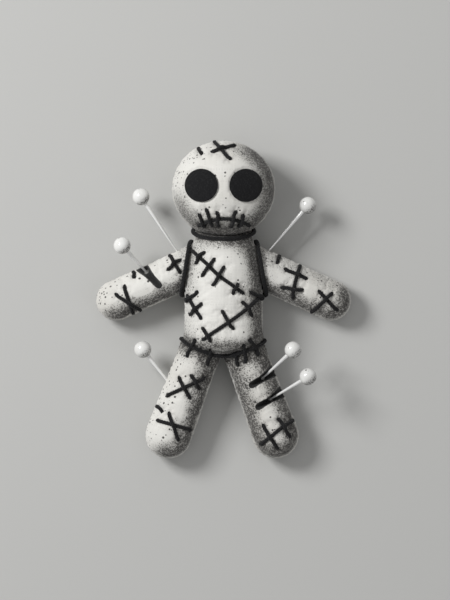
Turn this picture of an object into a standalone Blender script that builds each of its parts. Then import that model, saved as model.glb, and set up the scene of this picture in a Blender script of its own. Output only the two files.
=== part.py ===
"""A small stuffed cloth doll with yarn scars, felt eyes and six ball-head pins.

The doll lies on its back on the floor, Z = 0. +X runs to the right of its front, +Y up to
the head and +Z out of its face. Left and right are those of someone looking at the front.
Lengths are in metres and angles in degrees, unless a name says otherwise.
"""

import math
from dataclasses import dataclass

import bmesh
import bpy
from mathutils import Matrix, Vector
from mathutils.bvhtree import BVHTree
from mathutils.geometry import intersect_point_line

MM = 0.001

# Clearances
GAP = 0.3 * MM              # between neighbours that touch on the real doll
FLAT_SINK = 0.5 * MM        # how much each back is pressed flat by the floor

# Head
HEAD_WIDTH = 48.7 * MM
HEAD_HEIGHT = 45.6 * MM
HEAD_DEPTH = 40.0 * MM

# Torso
TORSO_LENGTH = 55.9 * MM    # from the underside of the head to the crotch
NECK_WIDTH = 26.6 * MM
CHEST_WIDTH = 36.6 * MM
BELLY_WIDTH = 37.6 * MM
TORSO_DEPTH = 30.0 * MM
SHOULDER_DROP = 17.0 * MM   # height over which the neck widens to the chest
SEAT_HEIGHT = 8.0 * MM      # height of the rounded lower end
NECK_TUCK = 9.0 * MM        # how far the neck runs up under the head

# Arms
ARM_WIDTH = 19.2 * MM
ARM_DEPTH = 17.0 * MM
ARM_REACH = 55.5 * MM       # from the doll's centre line to the middle of the round hand
ARM_DROOP = 24.3
ARM_START = 6.9 * MM        # the arms' lines cross this far below the head
ARM_ROOT = 12.0 * MM        # where the sewn-in end starts, from the centre line
SHOULDER_RISE = 5.0 * MM    # how much higher the sewn end lies than the hand

# Legs
HIP_WIDTH = 20.0 * MM
FOOT_WIDTH = 22.0 * MM
LEG_LENGTH = 42.7 * MM      # from the middle of the hip to the middle of the round foot
LEG_DEPTH = 19.5 * MM       # at the foot
LEG_SPLAY = 20.5
HIP_SPREAD = 20.6 * MM      # between the middles of the hips
HIP_SHIFT = -0.7 * MM       # of both hips, from the doll's centre line
HIP_HEIGHT = 2.5 * MM       # of the hips' middles above the crotch
HIP_TUCK = 1.0 * MM         # how far the leg runs up behind the torso's edge
HIP_RISE = 4.2 * MM         # how much higher the hip lies than the foot

# Felt, yarn and pins
EYE_DIAMETER = 15.7 * MM
EYE_THICKNESS = 1.2 * MM
EYE_SPREAD = 21.1 * MM
EYE_RAISE = 1.6 * MM        # above the middle of the head
YARN_DIAMETER = 1.8 * MM
CORD_DIAMETER = 2.1 * MM    # of the yarn around the neck and the armholes
WAIST_BRIDGE = 2.6 * MM     # the waist's yarn hangs free this far on both sides of the crotch
NECK_CORD_DROP = 1.0 * MM   # how far the neck's cord hangs below the crease under the head
STITCH_STEP = 1.8 * MM      # spacing of the points along a stitch
RING_STEP = 3.0 * MM        # spacing of the points along a seam
CROSS_RISE = 1.0 * MM       # how high a cross stitch climbs over the yarn below it
YARN_END_REACH = 0.6        # of a rounded yarn end past its last point, in yarn radii
YARN_END_TAPER = 0.55       # its radius there, as a share of the yarn's
EDGE_FACING = 0.30          # a stitch ends where the cloth's slope has a smaller cosine
PIN_LENGTH = 35.0 * MM      # from the middle of the ball to the point
BALL_DIAMETER = 8.1 * MM
SHAFT_DIAMETER = 1.9 * MM   # at the ball
POINT_DIAMETER = 0.3 * MM
SOCKET_DEPTH = 3.0 * MM
TUCK_WIDE = 5.2 * MM        # width of a pin's tuck at the edge of the limb
TUCK_NARROW = 2.4 * MM      # and at its inner end
TUCK_DEEPEN = 1.4           # its depth as a share of its half width
TUCK_SLOPE = 0.40           # height of its outer end, as a share of the limb's front

# Smoothness
ROUND_STEPS = 28
ARC_STEPS = 6
YARN_SIDES_RESOLUTION = 1   # six sides
PIN_SIDES = 10
BALL_STEPS = 14
TUCK_STEPS = 12
ROW_SHARE = 0.625           # rows from pole to pole for each step around a ball
CURVE_SHARES = 8            # short straight lengths between two points of a smooth curve
LEAST_PIECES = 3            # in which even the shortest stitch is laid
SHARP_ANGLE = 50            # between two faces that meet in a hard edge
WELD_DISTANCE = 0.002 * MM

# How closely yarn is laid against the cloth
REST_TRIES = 200
REST_DISTANCE = 0.003 * MM
TOUCH_DISTANCE = 0.001 * MM
SLIDE_HALVINGS = 30
ROUGH_STEPS = 24            # directions in which a crease is first measured

# Places that follow from the sizes
DOLL_LENGTH = (HEAD_HEIGHT + TORSO_LENGTH - HIP_HEIGHT + FOOT_WIDTH / 2
               + LEG_LENGTH * math.cos(math.radians(LEG_SPLAY)))
HEAD_Y = (DOLL_LENGTH - HEAD_HEIGHT) / 2
NECK_Y = DOLL_LENGTH / 2 - HEAD_HEIGHT
CROTCH_Y = NECK_Y - TORSO_LENGTH
HEAD_Z = HEAD_DEPTH / 2 - FLAT_SINK
TORSO_Z = TORSO_DEPTH / 2 - FLAT_SINK
HAND_Z = ARM_DEPTH / 2 - FLAT_SINK
FOOT_Z = LEG_DEPTH / 2 - FLAT_SINK
YARN_CLEAR = YARN_DIAMETER / 2 + GAP
CORD_CLEAR = CORD_DIAMETER / 2 + GAP
CORD_APART = (CORD_DIAMETER + YARN_DIAMETER) / 2 + GAP
SKY = 3 * HEAD_DEPTH        # a height above every piece

CLOTH = ("doll_cloth", (0.86, 0.85, 0.81, 1.0), 0.92, 0.0)
BLACK_FELT = ("black_felt", (0.012, 0.012, 0.013, 1.0), 0.95, 0.0)
BLACK_YARN = ("black_yarn", (0.015, 0.015, 0.016, 1.0), 0.88, 0.0)
PIN_BALL = ("pin_ball_gloss", (0.86, 0.86, 0.84, 1.0), 0.18, 0.0)
PIN_STEEL = ("pin_steel", (0.72, 0.73, 0.75, 1.0), 0.22, 1.0)


@dataclass(frozen=True)
class Plan:
    """A grid laid over one stuffed part, as seen from the front."""

    start: Vector
    side: Vector    # from the part's middle line to its edge
    run: Vector     # from the start to the part's far end

    def at(self, side, run):
        """Give the point at these shares of the part's half width and its length."""
        return self.start + side * self.side + run * self.run


@dataclass(frozen=True)
class Limb:
    """The line through the middle of an arm or a leg, from the torso to the round end."""

    root: Vector
    tip: Vector
    plan: Plan

    @property
    def direction(self):
        """Give the unit vector from the torso to the round end."""
        return (self.tip - self.root).normalized()

    def height_at(self, point):
        """Give the height of the middle line beside a point of the plan."""
        flat_root = self.root.xy.to_3d()
        flat_tip = self.tip.xy.to_3d()
        share = intersect_point_line(point.xy.to_3d(), flat_root, flat_tip)[1]
        return self.root.z + share * (self.tip.z - self.root.z)


def arm_limb(sign):
    """Lay out the arm on one side, sign -1 for the left and 1 for the right."""
    droop = math.radians(ARM_DROOP)
    outward = Vector((sign * math.cos(droop), -math.sin(droop), 0))
    upward = Vector((sign * math.sin(droop), math.cos(droop), 0))
    start = Vector((0, NECK_Y - ARM_START, 0))
    root = start + outward * ARM_ROOT + Vector((0, 0, HAND_Z + SHOULDER_RISE))
    tip = start + outward * ARM_REACH + Vector((0, 0, HAND_Z))
    return Limb(root, tip, Plan(start, upward * ARM_WIDTH / 2, outward * ARM_REACH))


def leg_limb(sign):
    """Lay out the leg on one side, sign -1 for the left and 1 for the right."""
    splay = math.radians(LEG_SPLAY)
    downward = Vector((sign * math.sin(splay), -math.cos(splay), 0))
    outward = Vector((sign * math.cos(splay), math.sin(splay), 0))
    hip = Vector((HIP_SHIFT + sign * HIP_SPREAD / 2, CROTCH_Y + HIP_HEIGHT, 0))
    root = hip + Vector((0, 0, FOOT_Z + HIP_RISE))
    tip = hip + downward * LEG_LENGTH + Vector((0, 0, FOOT_Z))
    return Limb(root, tip, Plan(hip, outward * FOOT_WIDTH / 2, downward * LEG_LENGTH))


ARMS = {"left": arm_limb(-1), "right": arm_limb(1)}
LEGS = {"left": leg_limb(-1), "right": leg_limb(1)}
HEAD_PLAN = Plan(Vector((0, HEAD_Y, 0)), Vector((HEAD_WIDTH / 2, 0, 0)), Vector((0, HEAD_HEIGHT / 2, 0)))
TORSO_PLAN = Plan(Vector((0, NECK_Y, 0)), Vector((BELLY_WIDTH / 2, 0, 0)), Vector((0, -TORSO_LENGTH, 0)))


def empty_scene():
    """Remove every object and give the collections for the doll and its cutters."""
    for obj in list(bpy.data.objects):
        bpy.data.objects.remove(obj, do_unlink=True)
    doll = bpy.data.collections.new("cloth_doll")
    cutters = bpy.data.collections.new("cutters")
    bpy.context.scene.collection.children.link(doll)
    bpy.context.scene.collection.children.link(cutters)
    return doll, cutters


DOLL, CUTTERS = empty_scene()


def principled(finish):
    """Give the material of a finish, made on its first use."""
    name, colour, roughness, metallic = finish
    material = bpy.data.materials.get(name)
    if material is None:
        material = bpy.data.materials.new(name)
        material.use_nodes = True
        shader = material.node_tree.nodes["Principled BSDF"]
        shader.inputs["Base Color"].default_value = colour
        shader.inputs["Roughness"].default_value = roughness
        shader.inputs["Metallic"].default_value = metallic
    return material


def place(name, data, finish=None):
    """Add an object to the doll, or to the cutters when it has no finish."""
    obj = bpy.data.objects.new(name, data)
    if finish is None:
        CUTTERS.objects.link(obj)
        obj.hide_render = True
        obj.display_type = "WIRE"
    else:
        DOLL.objects.link(obj)
        data.materials.append(principled(finish))
    return obj


def settle(obj):
    """Apply what the object's modifiers and its place do to its mesh, and weld the mesh."""
    bpy.context.view_layer.update()
    shown = obj.evaluated_get(bpy.context.evaluated_depsgraph_get())
    mesh = bpy.data.meshes.new_from_object(shown)
    mesh.transform(obj.matrix_world)
    obj.modifiers.clear()
    obj.data = mesh
    obj.matrix_world = Matrix.Identity(4)
    work = bmesh.new()
    work.from_mesh(mesh)
    bmesh.ops.remove_doubles(work, verts=work.verts, dist=WELD_DISTANCE)
    work.to_mesh(mesh)
    work.free()
    mesh.shade_smooth()
    mesh.set_sharp_from_angle(angle=math.radians(SHARP_ANGLE))
    return obj


def combine(obj, operation, *others):
    """Join other closed meshes to an object, cut them out of it or keep what they share."""
    for other in others:
        boolean = obj.modifiers.new(other.name, "BOOLEAN")
        boolean.operation = operation
        boolean.solver = "EXACT"
        boolean.object = other
    return settle(obj)


def surface_of(*objects):
    """Give one search tree over the surfaces of settled objects."""
    corners = []
    faces = []
    for obj in objects:
        first = len(corners)
        corners.extend(vertex.co.copy() for vertex in obj.data.vertices)
        faces.extend([first + index for index in face.vertices] for face in obj.data.polygons)
    return BVHTree.FromPolygons(corners, faces)


def ellipsoid(name, centre, size, finish=None, steps=ROUND_STEPS):
    """Add a ball with the given centre and full sizes along X, Y and Z."""
    mesh = bpy.data.meshes.new(name)
    work = bmesh.new()
    bmesh.ops.create_uvsphere(work, u_segments=steps, v_segments=int(steps * ROW_SHARE), radius=0.5)
    work.to_mesh(mesh)
    work.free()
    obj = place(name, mesh, finish)
    obj.matrix_world = Matrix.Translation(centre) @ Matrix.Diagonal((*size, 1))
    return settle(obj)


def turned(name, profile, frame, finish=None, steps=ROUND_STEPS):
    """Turn a profile about the Z axis of a frame.

    The profile lists radius and height from the highest point to the lowest.
    """
    mesh = bpy.data.meshes.new(name)
    points = [(radius, 0, height) for radius, height in profile]
    mesh.from_pydata(points, [(i, i + 1) for i in range(len(points) - 1)], [])
    obj = place(name, mesh, finish)
    screw = obj.modifiers.new("turn", "SCREW")
    screw.steps = steps
    screw.render_steps = steps
    screw.use_merge_vertices = True
    screw.merge_threshold = WELD_DISTANCE
    obj.matrix_world = frame
    return settle(obj)


def cone(name, start, end, start_radius, end_radius, finish=None):
    """Add a closed cone between two points."""
    axis = end - start
    mesh = bpy.data.meshes.new(name)
    work = bmesh.new()
    bmesh.ops.create_cone(work, cap_ends=True, segments=PIN_SIDES, radius1=start_radius,
                          radius2=end_radius, depth=axis.length)
    work.to_mesh(mesh)
    work.free()
    obj = place(name, mesh, finish)
    turn = axis.to_track_quat("Z", "Y").to_matrix().to_4x4()
    obj.matrix_world = Matrix.Translation((start + end) / 2) @ turn
    return settle(obj)


def box(name, low, high):
    """Add a cutter box between two corners."""
    mesh = bpy.data.meshes.new(name)
    work = bmesh.new()
    bmesh.ops.create_cube(work, size=1)
    work.to_mesh(mesh)
    work.free()
    obj = place(name, mesh)
    obj.matrix_world = Matrix.Translation((low + high) / 2) @ Matrix.Diagonal((*(high - low), 1))
    return settle(obj)


def limb_frame(limb, depth_share):
    """Stand a limb's frame at its round end, Z towards the torso and Y along its depth."""
    up_the_limb = -limb.direction
    across = up_the_limb.cross(Vector((0, 0, 1))).normalized()
    depth = up_the_limb.cross(across) * depth_share
    turn = Matrix((across, depth, up_the_limb)).transposed().to_4x4()
    return Matrix.Translation(limb.tip) @ turn


def round_ended_profile(end_radius, root_radius, length):
    """Profile a stuffed tube with a flat root at the top and a round end at the bottom.

    The side is the straight line that touches the round end.
    """
    lean = math.asin((end_radius - root_radius) / length)
    side_top = (root_radius, length)
    steps = range(ARC_STEPS + 1)
    angles = [lean + (-math.pi / 2 - lean) * step / ARC_STEPS for step in steps]
    arc = [(end_radius * math.cos(angle), end_radius * math.sin(angle)) for angle in angles]
    start_radius, start_height = arc[0]
    side = [(side_top[0] + (start_radius - side_top[0]) * share,
             side_top[1] + (start_height - side_top[1]) * share) for share in (1 / 3, 2 / 3)]
    arc[-1] = (0, -end_radius)
    return [(0, length), side_top, *side, *arc]


def torso_profile(grow=0.0):
    """Profile the torso from the neck down, with every radius and end moved out by grow."""
    neck = NECK_WIDTH / 2 + grow
    chest = CHEST_WIDTH / 2 + grow
    belly = BELLY_WIDTH / 2 + grow
    top = NECK_Y + NECK_TUCK
    seat_y = CROTCH_Y + SEAT_HEIGHT
    shoulder = []
    for step in range(ARC_STEPS + 1):
        share = step / ARC_STEPS
        widen = math.sin(share * math.pi / 2)
        shoulder.append((neck + (chest - neck) * widen, NECK_Y - SHOULDER_DROP * share))
    waist_y = NECK_Y - SHOULDER_DROP
    middle = ((chest + belly) / 2, (waist_y + seat_y) / 2)
    seat = []
    for step in range(ARC_STEPS + 1):
        angle = step / ARC_STEPS * math.pi / 2
        seat.append((belly * math.cos(angle), seat_y - (SEAT_HEIGHT + grow) * math.sin(angle)))
    seat[-1] = (0, CROTCH_Y - grow)
    return [(0, top + grow), (neck, top + grow), *shoulder, middle, *seat]


def torso_frame():
    """Lay the torso's turning axis along Y, and squeeze its depth."""
    squeeze = Matrix.Diagonal((1, TORSO_DEPTH / BELLY_WIDTH, 1, 1))
    lay_down = Matrix.Rotation(math.radians(-90), 4, "X")
    return Matrix.Translation((0, 0, TORSO_Z)) @ lay_down @ squeeze


def stuffed_parts():
    """Make the head, the torso, the arms and the legs, cut where they meet and rest."""
    head_size = Vector((HEAD_WIDTH, HEAD_HEIGHT, HEAD_DEPTH))
    head_centre = Vector((0, HEAD_Y, HEAD_Z))
    room = Vector((DOLL_LENGTH, DOLL_LENGTH, 0))
    floor = box("floor_cut", -room - Vector((0, 0, DOLL_LENGTH / 4)), room)
    around_head = ellipsoid("head_room", head_centre, head_size + Vector((2, 2, 2)) * GAP)
    depth_share = TORSO_DEPTH / BELLY_WIDTH
    around_torso = turned("torso_room", torso_profile(GAP / depth_share), torso_frame())

    parts = {}
    parts["head"] = combine(ellipsoid("head", head_centre, head_size, CLOTH), "DIFFERENCE", floor)
    torso = turned("torso", torso_profile(), torso_frame(), CLOTH)
    parts["torso"] = combine(torso, "DIFFERENCE", around_head, floor)
    for side, limb in ARMS.items():
        radius = ARM_WIDTH / 2
        profile = round_ended_profile(radius, radius, (limb.tip - limb.root).length)
        arm = turned("arm_" + side, profile, limb_frame(limb, ARM_DEPTH / ARM_WIDTH), CLOTH)
        parts["arm_" + side] = combine(arm, "DIFFERENCE", around_torso, around_head, floor)
    for side, limb in LEGS.items():
        length = (limb.tip - limb.root).length
        foot = FOOT_WIDTH / 2
        narrowing = (foot - HIP_WIDTH / 2) / length
        profile = round_ended_profile(foot, HIP_WIDTH / 2 - narrowing * HIP_TUCK, length + HIP_TUCK)
        leg = turned("leg_" + side, profile, limb_frame(limb, LEG_DEPTH / FOOT_WIDTH), CLOTH)
        parts["leg_" + side] = combine(leg, "DIFFERENCE", around_torso, floor)
    return parts


@dataclass(frozen=True)
class Pin:
    """How one pin is stuck in.

    The entry is given in the limb's plan, the heading is the way the point looks in the
    plan, and show is how far the ball's middle stays from the entry in the plan, as a share
    of the pin's length. A pin through the front of a limb pulls a tuck in the cloth, whose
    inner end is given too.
    """

    name: str
    limb: Limb
    part: str
    entry: tuple
    heading: float
    show: float
    climb: float
    tuck_end: tuple = None

    @property
    def entry_flat(self):
        """Give the entry in the plan."""
        return self.limb.plan.at(*self.entry)

    @property
    def direction(self):
        """Give the unit vector from the ball to the point."""
        heading = math.radians(self.heading)
        climb = math.radians(self.climb)
        level = math.cos(climb)
        return Vector((level * math.cos(heading), level * math.sin(heading), -math.sin(climb)))

    def ball_centre(self, entry_height):
        """Give the middle of the ball for the height at which the pin goes in."""
        entry = self.entry_flat + Vector((0, 0, entry_height))
        return entry - self.direction * PIN_LENGTH * self.show / math.cos(math.radians(self.climb))


PINS = [
    Pin("pin_shoulder_left", ARMS["left"], "arm_left", (1.0, 0.39), -59.6, 0.868, 4),
    Pin("pin_forearm_left", ARMS["left"], "arm_left", (0.66, 0.67), -47.6, 0.483, 33, (-0.18, 0.62)),
    Pin("pin_shoulder_right", ARMS["right"], "arm_right", (1.0, 0.35), -130.5, 0.797, 4),
    Pin("pin_thigh_left", LEGS["left"], "leg_left", (0.95, 0.43), -51.8, 0.507, 8),
    Pin("pin_thigh_right", LEGS["right"], "leg_right", (0.34, 0.36), -137.0, 0.558, 28, (-0.19, 0.39)),
    Pin("pin_shin_right", LEGS["right"], "leg_right", (0.32, 0.61), -148.8, 0.594, 28, (-0.26, 0.64)),
]


def front_height(surface, point):
    """Give the height of the front of a surface over a point of the plan."""
    hit = surface.ray_cast(Vector((point.x, point.y, SKY)), Vector((0, 0, -1)))[0]
    return hit.z


def tuck_line(pin, surface):
    """Give both ends of the middle line of a pin's tuck, from the edge of the limb inwards."""
    inner = pin.limb.plan.at(*pin.tuck_end)
    inner.z = front_height(surface, inner)
    entry = pin.entry_flat
    outward = (entry - inner.xy.to_3d()).normalized()
    edge = surface.ray_cast(entry + outward * DOLL_LENGTH / 2 + Vector((0, 0, inner.z / 2)), -outward)[0]
    middle_height = pin.limb.height_at(edge)
    edge.z = middle_height + (inner.z - middle_height) * TUCK_SLOPE
    return edge, inner


def cut_tuck(pin, part):
    """Cut the tuck that a pin pulls in the front of a limb, and give its floor at the entry."""
    edge, inner = tuck_line(pin, surface_of(part))
    outward = (edge - inner).normalized()
    outer = edge + outward * TUCK_WIDE
    length = (outer - inner).length
    outer_width = TUCK_NARROW + (TUCK_WIDE - TUCK_NARROW) * length / (edge - inner).length
    depth_axis = outward.cross(Vector((0, 0, 1)).cross(outward)).normalized() * TUCK_DEEPEN
    across = Vector((0, 0, 1)).cross(outward).normalized()
    turn = Matrix((across, depth_axis, outward)).transposed().to_4x4()
    profile = round_ended_profile(TUCK_NARROW / 2, outer_width / 2, length)
    cutter = turned(pin.name + "_tuck", profile, Matrix.Translation(inner) @ turn, steps=TUCK_STEPS)
    combine(part, "DIFFERENCE", cutter)
    return front_height(surface_of(part), pin.entry_flat)


def make_pin(pin, parts):
    """Stick one pin in its limb: a turned shaft in a blind hole and a ball on its thick end."""
    part = parts[pin.part]
    if pin.tuck_end:
        entry_height = cut_tuck(pin, part)
    else:
        entry_height = pin.limb.height_at(pin.entry_flat)
    ball = pin.ball_centre(entry_height)
    direction = pin.direction
    taper = (SHAFT_DIAMETER - POINT_DIAMETER) / 2 / PIN_LENGTH
    shaft_start = ball + direction * (BALL_DIAMETER / 2 - SOCKET_DEPTH + GAP)
    shaft_end = ball + direction * PIN_LENGTH
    cone(pin.name + "_shaft", shaft_start, shaft_end, SHAFT_DIAMETER / 2, POINT_DIAMETER / 2, PIN_STEEL)

    bore_start = ball + direction * (BALL_DIAMETER / 2 + GAP)
    bore_end = shaft_end + direction * GAP
    bore_length = (bore_end - bore_start).length
    bore = cone(pin.name + "_bore", bore_start, bore_end,
                POINT_DIAMETER / 2 + GAP + taper * bore_length, POINT_DIAMETER / 2 + GAP)
    for name in pierced_by(pin):
        combine(parts[name], "DIFFERENCE", bore)

    head_size = Vector((BALL_DIAMETER, BALL_DIAMETER, BALL_DIAMETER))
    head = ellipsoid(pin.name + "_ball", ball, head_size, PIN_BALL, BALL_STEPS)
    socket_start = ball + direction * (BALL_DIAMETER / 2 - SOCKET_DEPTH)
    socket = cone(pin.name + "_socket", socket_start, ball + direction * BALL_DIAMETER,
                  SHAFT_DIAMETER / 2 + GAP, SHAFT_DIAMETER / 2 + GAP)
    combine(head, "DIFFERENCE", socket)


def pierced_by(pin):
    """Name the stuffed parts that a pin's point may reach: its limb and the torso behind it."""
    return (pin.part, "torso") if pin.part.startswith("arm") else (pin.part,)


def felt_eye(name, head, side):
    """Cut a round felt disc that lies on the curve of the head."""
    size = Vector((HEAD_WIDTH, HEAD_HEIGHT, HEAD_DEPTH))
    centre = Vector((0, HEAD_Y, HEAD_Z))
    outer_grow = 2 * (GAP + EYE_THICKNESS)
    disc = ellipsoid(name, centre, size + Vector((1, 1, 1)) * outer_grow, BLACK_FELT)
    under = ellipsoid(name + "_under", centre, size + Vector((2, 2, 2)) * GAP)
    middle = Vector((side * EYE_SPREAD / 2, HEAD_Y + EYE_RAISE, HEAD_Z))
    mesh = bpy.data.meshes.new(name + "_punch")
    work = bmesh.new()
    bmesh.ops.create_cone(work, cap_ends=True, segments=ROUND_STEPS, radius1=EYE_DIAMETER / 2,
                          radius2=EYE_DIAMETER / 2, depth=HEAD_DEPTH)
    work.to_mesh(mesh)
    work.free()
    punch = place(name + "_punch", mesh)
    punch.location = middle + Vector((0, 0, HEAD_DEPTH / 2))
    settle(punch)
    combine(disc, "INTERSECT", punch)
    return combine(disc, "DIFFERENCE", under)


def rest_height(point, surfaces, yarns):
    """Lower the middle of a yarn over a point of the plan until it rests on something.

    Each surface comes with a clearance, and so does each line of yarn points below it.
    Gives the point and how far what it rests on faces the front, or 0 for the floor.
    """
    spot = Vector((point.x, point.y, SKY))
    for _ in range(REST_TRIES):
        reach = spot.z
        facing = 0.0
        for surface, clearance in surfaces:
            nearest, _, _, distance = surface.find_nearest(spot)
            if distance - clearance < reach:
                reach = distance - clearance
                facing = (spot.z - nearest.z) / distance
        for line, clearance in yarns:
            distance = min(
                (spot - nearest_on(spot, a, b)).length for a, b in zip(line, line[1:])
            )
            if distance - clearance < reach:
                reach = distance - clearance
                facing = 1.0
        if reach < REST_DISTANCE:
            return spot, facing
        spot = spot - Vector((0, 0, reach))
    return spot, facing


def nearest_on(point, start, end):
    """Give the point of a short straight length that lies nearest to another point."""
    nearest, share = intersect_point_line(point, start, end)
    if share <= 0:
        return start
    return end if share >= 1 else nearest


def along(points, step):
    """Walk a line of plan points in even steps, as one smooth curve through them."""
    count = len(points)
    if count > 2:
        dense = []
        for index in range(count - 1):
            before = points[max(index - 1, 0)]
            here, after = points[index], points[index + 1]
            beyond = points[min(index + 2, count - 1)]
            dense.extend(catmull(before, here, after, beyond, step_share / CURVE_SHARES)
                         for step_share in range(CURVE_SHARES))
        points = [*dense, points[-1]]
    lengths = [(b - a).length for a, b in zip(points, points[1:])]
    total = sum(lengths)
    pieces = max(LEAST_PIECES, math.ceil(total / step))
    walked = []
    for index in range(pieces + 1):
        left = total * index / pieces
        spot = points[-1]
        for start, end, length in zip(points, points[1:], lengths):
            if left <= length:
                spot = start.lerp(end, left / length)
                break
            left -= length
        walked.append(spot)
    return walked


def catmull(before, here, after, beyond, share):
    """Give a point on the smooth curve between two points, seen with their neighbours."""
    square = share * share
    cube = square * share
    return 0.5 * (2 * here + (after - before) * share
                  + (2 * before - 5 * here + 4 * after - beyond) * square
                  + (3 * here - before - 3 * after + beyond) * cube)


def lay_yarn(route, surfaces, yarns=()):
    """Lay a yarn over the cloth along a route of plan points, up to where the cloth turns away."""
    spots = [rest_height(point, surfaces, yarns) for point in along(route, STITCH_STEP)]
    return [spot for spot, facing in spots if facing > EDGE_FACING]


def yarn_tube(name, points, finish=None, closed=False, diameter=YARN_DIAMETER):
    """Make a tube of yarn along resting points, with rounded ends when it is open."""
    radii = [1.0] * len(points)
    if not closed:
        reach = diameter / 2 * YARN_END_REACH
        first = points[0] + (points[0] - points[1]).normalized() * reach
        last = points[-1] + (points[-1] - points[-2]).normalized() * reach
        points = [first, *points, last]
        radii = [YARN_END_TAPER, *radii, YARN_END_TAPER]
    curve = bpy.data.curves.new(name, "CURVE")
    curve.dimensions = "3D"
    curve.bevel_depth = diameter / 2
    curve.bevel_resolution = YARN_SIDES_RESOLUTION
    curve.use_fill_caps = True
    spline = curve.splines.new("POLY")
    spline.points.add(len(points) - 1)
    for spline_point, point, radius in zip(spline.points, points, radii):
        spline_point.co = (*point, 1)
        spline_point.radius = radius
    spline.use_cyclic_u = closed
    tube = place(name, curve, finish)
    return settle_curve(tube, finish)


def settle_curve(tube, finish):
    """Change a curve object for a welded mesh object of the same name."""
    bpy.context.view_layer.update()
    mesh = bpy.data.meshes.new_from_object(tube.evaluated_get(bpy.context.evaluated_depsgraph_get()))
    name = tube.name
    bpy.data.objects.remove(tube, do_unlink=True)
    mesh.name = name
    mesh.materials.clear()
    return settle(place(name, mesh, finish))


def height_over(surface, spot):
    """Give how far a spot is from a surface, below zero when it is inside."""
    nearest, normal, _, distance = surface.find_nearest(spot)
    inside = (spot - nearest).dot(normal) < 0
    return -distance if inside else distance


def ring_in_crease(surface_a, surface_b, foot, axis, reach, span, clear_a, clear_b):
    """Find the closed line that stays clear of both surfaces of a crease by two distances.

    The line goes round an axis, which runs from surface a to surface b. From each of its
    directions a yarn is moved in towards the axis from the distance reach, and slid along
    the axis between the two limits of span, until it is clear of both surfaces by just
    those distances. Surface a is smooth near the crease, so that its inside can be told
    from its outside.
    """
    first = (Vector((0, 0, 1)) - axis * axis.z).normalized()
    second = axis.cross(first)

    def touch(angle, slide):
        outward = first * math.cos(angle) + second * math.sin(angle)
        radius = reach
        while radius > 0:
            spot = foot + axis * slide + outward * radius
            to_a = height_over(surface_a, spot) - clear_a
            to_b = surface_b.find_nearest(spot)[3] - clear_b
            if min(to_a, to_b) < TOUCH_DISTANCE:
                break
            radius -= min(to_a, to_b)
        return spot, to_a - to_b

    def crease_at(angle):
        low, high = span
        for _ in range(SLIDE_HALVINGS):
            middle = (low + high) / 2
            spot, lean = touch(angle, middle)
            if lean < 0:
                low = middle
            else:
                high = middle
        return spot

    rough = [crease_at(2 * math.pi * step / ROUGH_STEPS) for step in range(ROUGH_STEPS)]
    around = sum((a - b).length for a, b in zip(rough, rough[1:] + rough[:1]))
    count = math.ceil(around / RING_STEP)
    return [crease_at(2 * math.pi * step / count) for step in range(count)]


def stitch_group(name, plan, line, crosses, surfaces, others=()):
    """Sew one length of yarn with the short stitches that cross it, and join them.

    The line and each crossing stitch are lists of points in the part's plan.
    """
    base = lay_yarn([plan.at(*point) for point in line], surfaces, others)
    tube = yarn_tube(name, base, BLACK_YARN)
    over = [*others, (base, CROSS_RISE)]
    for index, cross in enumerate(crosses):
        route = lay_yarn([plan.at(*point) for point in cross], surfaces, over)
        combine(tube, "UNION", yarn_tube(f"{name}_cross_{index}", route))
    return base


def arc_points(middle, half_span, drop):
    """Give five points of a bow that falls away on both sides of its middle."""
    shares = (-1, -0.5, 0, 0.5, 1)
    return [(middle[0] + half_span * share, middle[1] - drop * share * share) for share in shares]


def sew_seams(parts):
    """Lay yarn in the creases at the neck, the armholes and the waist."""
    torso = surface_of(parts["torso"])
    head = surface_of(parts["head"])
    legs = surface_of(parts["leg_left"], parts["leg_right"])
    rings = {}
    neck_foot = Vector((0, NECK_Y, TORSO_Z))
    neck_span = (-NECK_TUCK, SHOULDER_DROP / 4)
    rings["neck_cord"] = ring_in_crease(head, torso, neck_foot, Vector((0, -1, 0)), HEAD_WIDTH,
                                        neck_span, CORD_CLEAR + NECK_CORD_DROP, CORD_CLEAR)
    yarn_tube("neck_cord", rings["neck_cord"], BLACK_YARN, closed=True, diameter=CORD_DIAMETER)
    for side, limb in ARMS.items():
        name = "armhole_seam_" + side
        arm = surface_of(parts["arm_" + side])
        rings[name] = ring_in_crease(torso, arm, limb.root, limb.direction,
                                     ARM_WIDTH / 2 + CORD_CLEAR + GAP, (0, CHEST_WIDTH / 2),
                                     CORD_CLEAR, CORD_CLEAR)
        yarn_tube(name, rings[name], BLACK_YARN, closed=True, diameter=CORD_DIAMETER)
    waist_foot = Vector((0, CROTCH_Y, TORSO_Z))
    waist = ring_in_crease(torso, legs, waist_foot, Vector((0, -1, 0)), HEAD_WIDTH,
                           (-SEAT_HEIGHT, YARN_DIAMETER), YARN_CLEAR, YARN_CLEAR)
    waist = [point for point in waist if abs(point.x - HIP_SHIFT) > WAIST_BRIDGE]
    tube = yarn_tube("waist_seam", waist, BLACK_YARN, closed=True)
    surfaces = [(torso, YARN_CLEAR), (legs, YARN_CLEAR)]
    crosses = [
        [(-0.69, 0.86), (-0.93, 1.01)],
        [(-0.33, 0.94), (-0.41, 1.08)],
        [(0.33, 0.97), (0.36, 1.09)],
        [(0.51, 0.90), (0.55, 1.06)],
        [(0.64, 0.86), (0.89, 1.00)],
    ]
    for index, cross in enumerate(crosses):
        route = lay_yarn([TORSO_PLAN.at(*point) for point in cross], surfaces,
                         [(closed_line(waist), CROSS_RISE)])
        combine(tube, "UNION", yarn_tube(f"waist_cross_{index}", route))
    rings["waist_seam"] = waist
    return rings


def closed_line(points):
    """Give a ring's points with the first one again at the end."""
    return [*points, points[0]]


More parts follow.
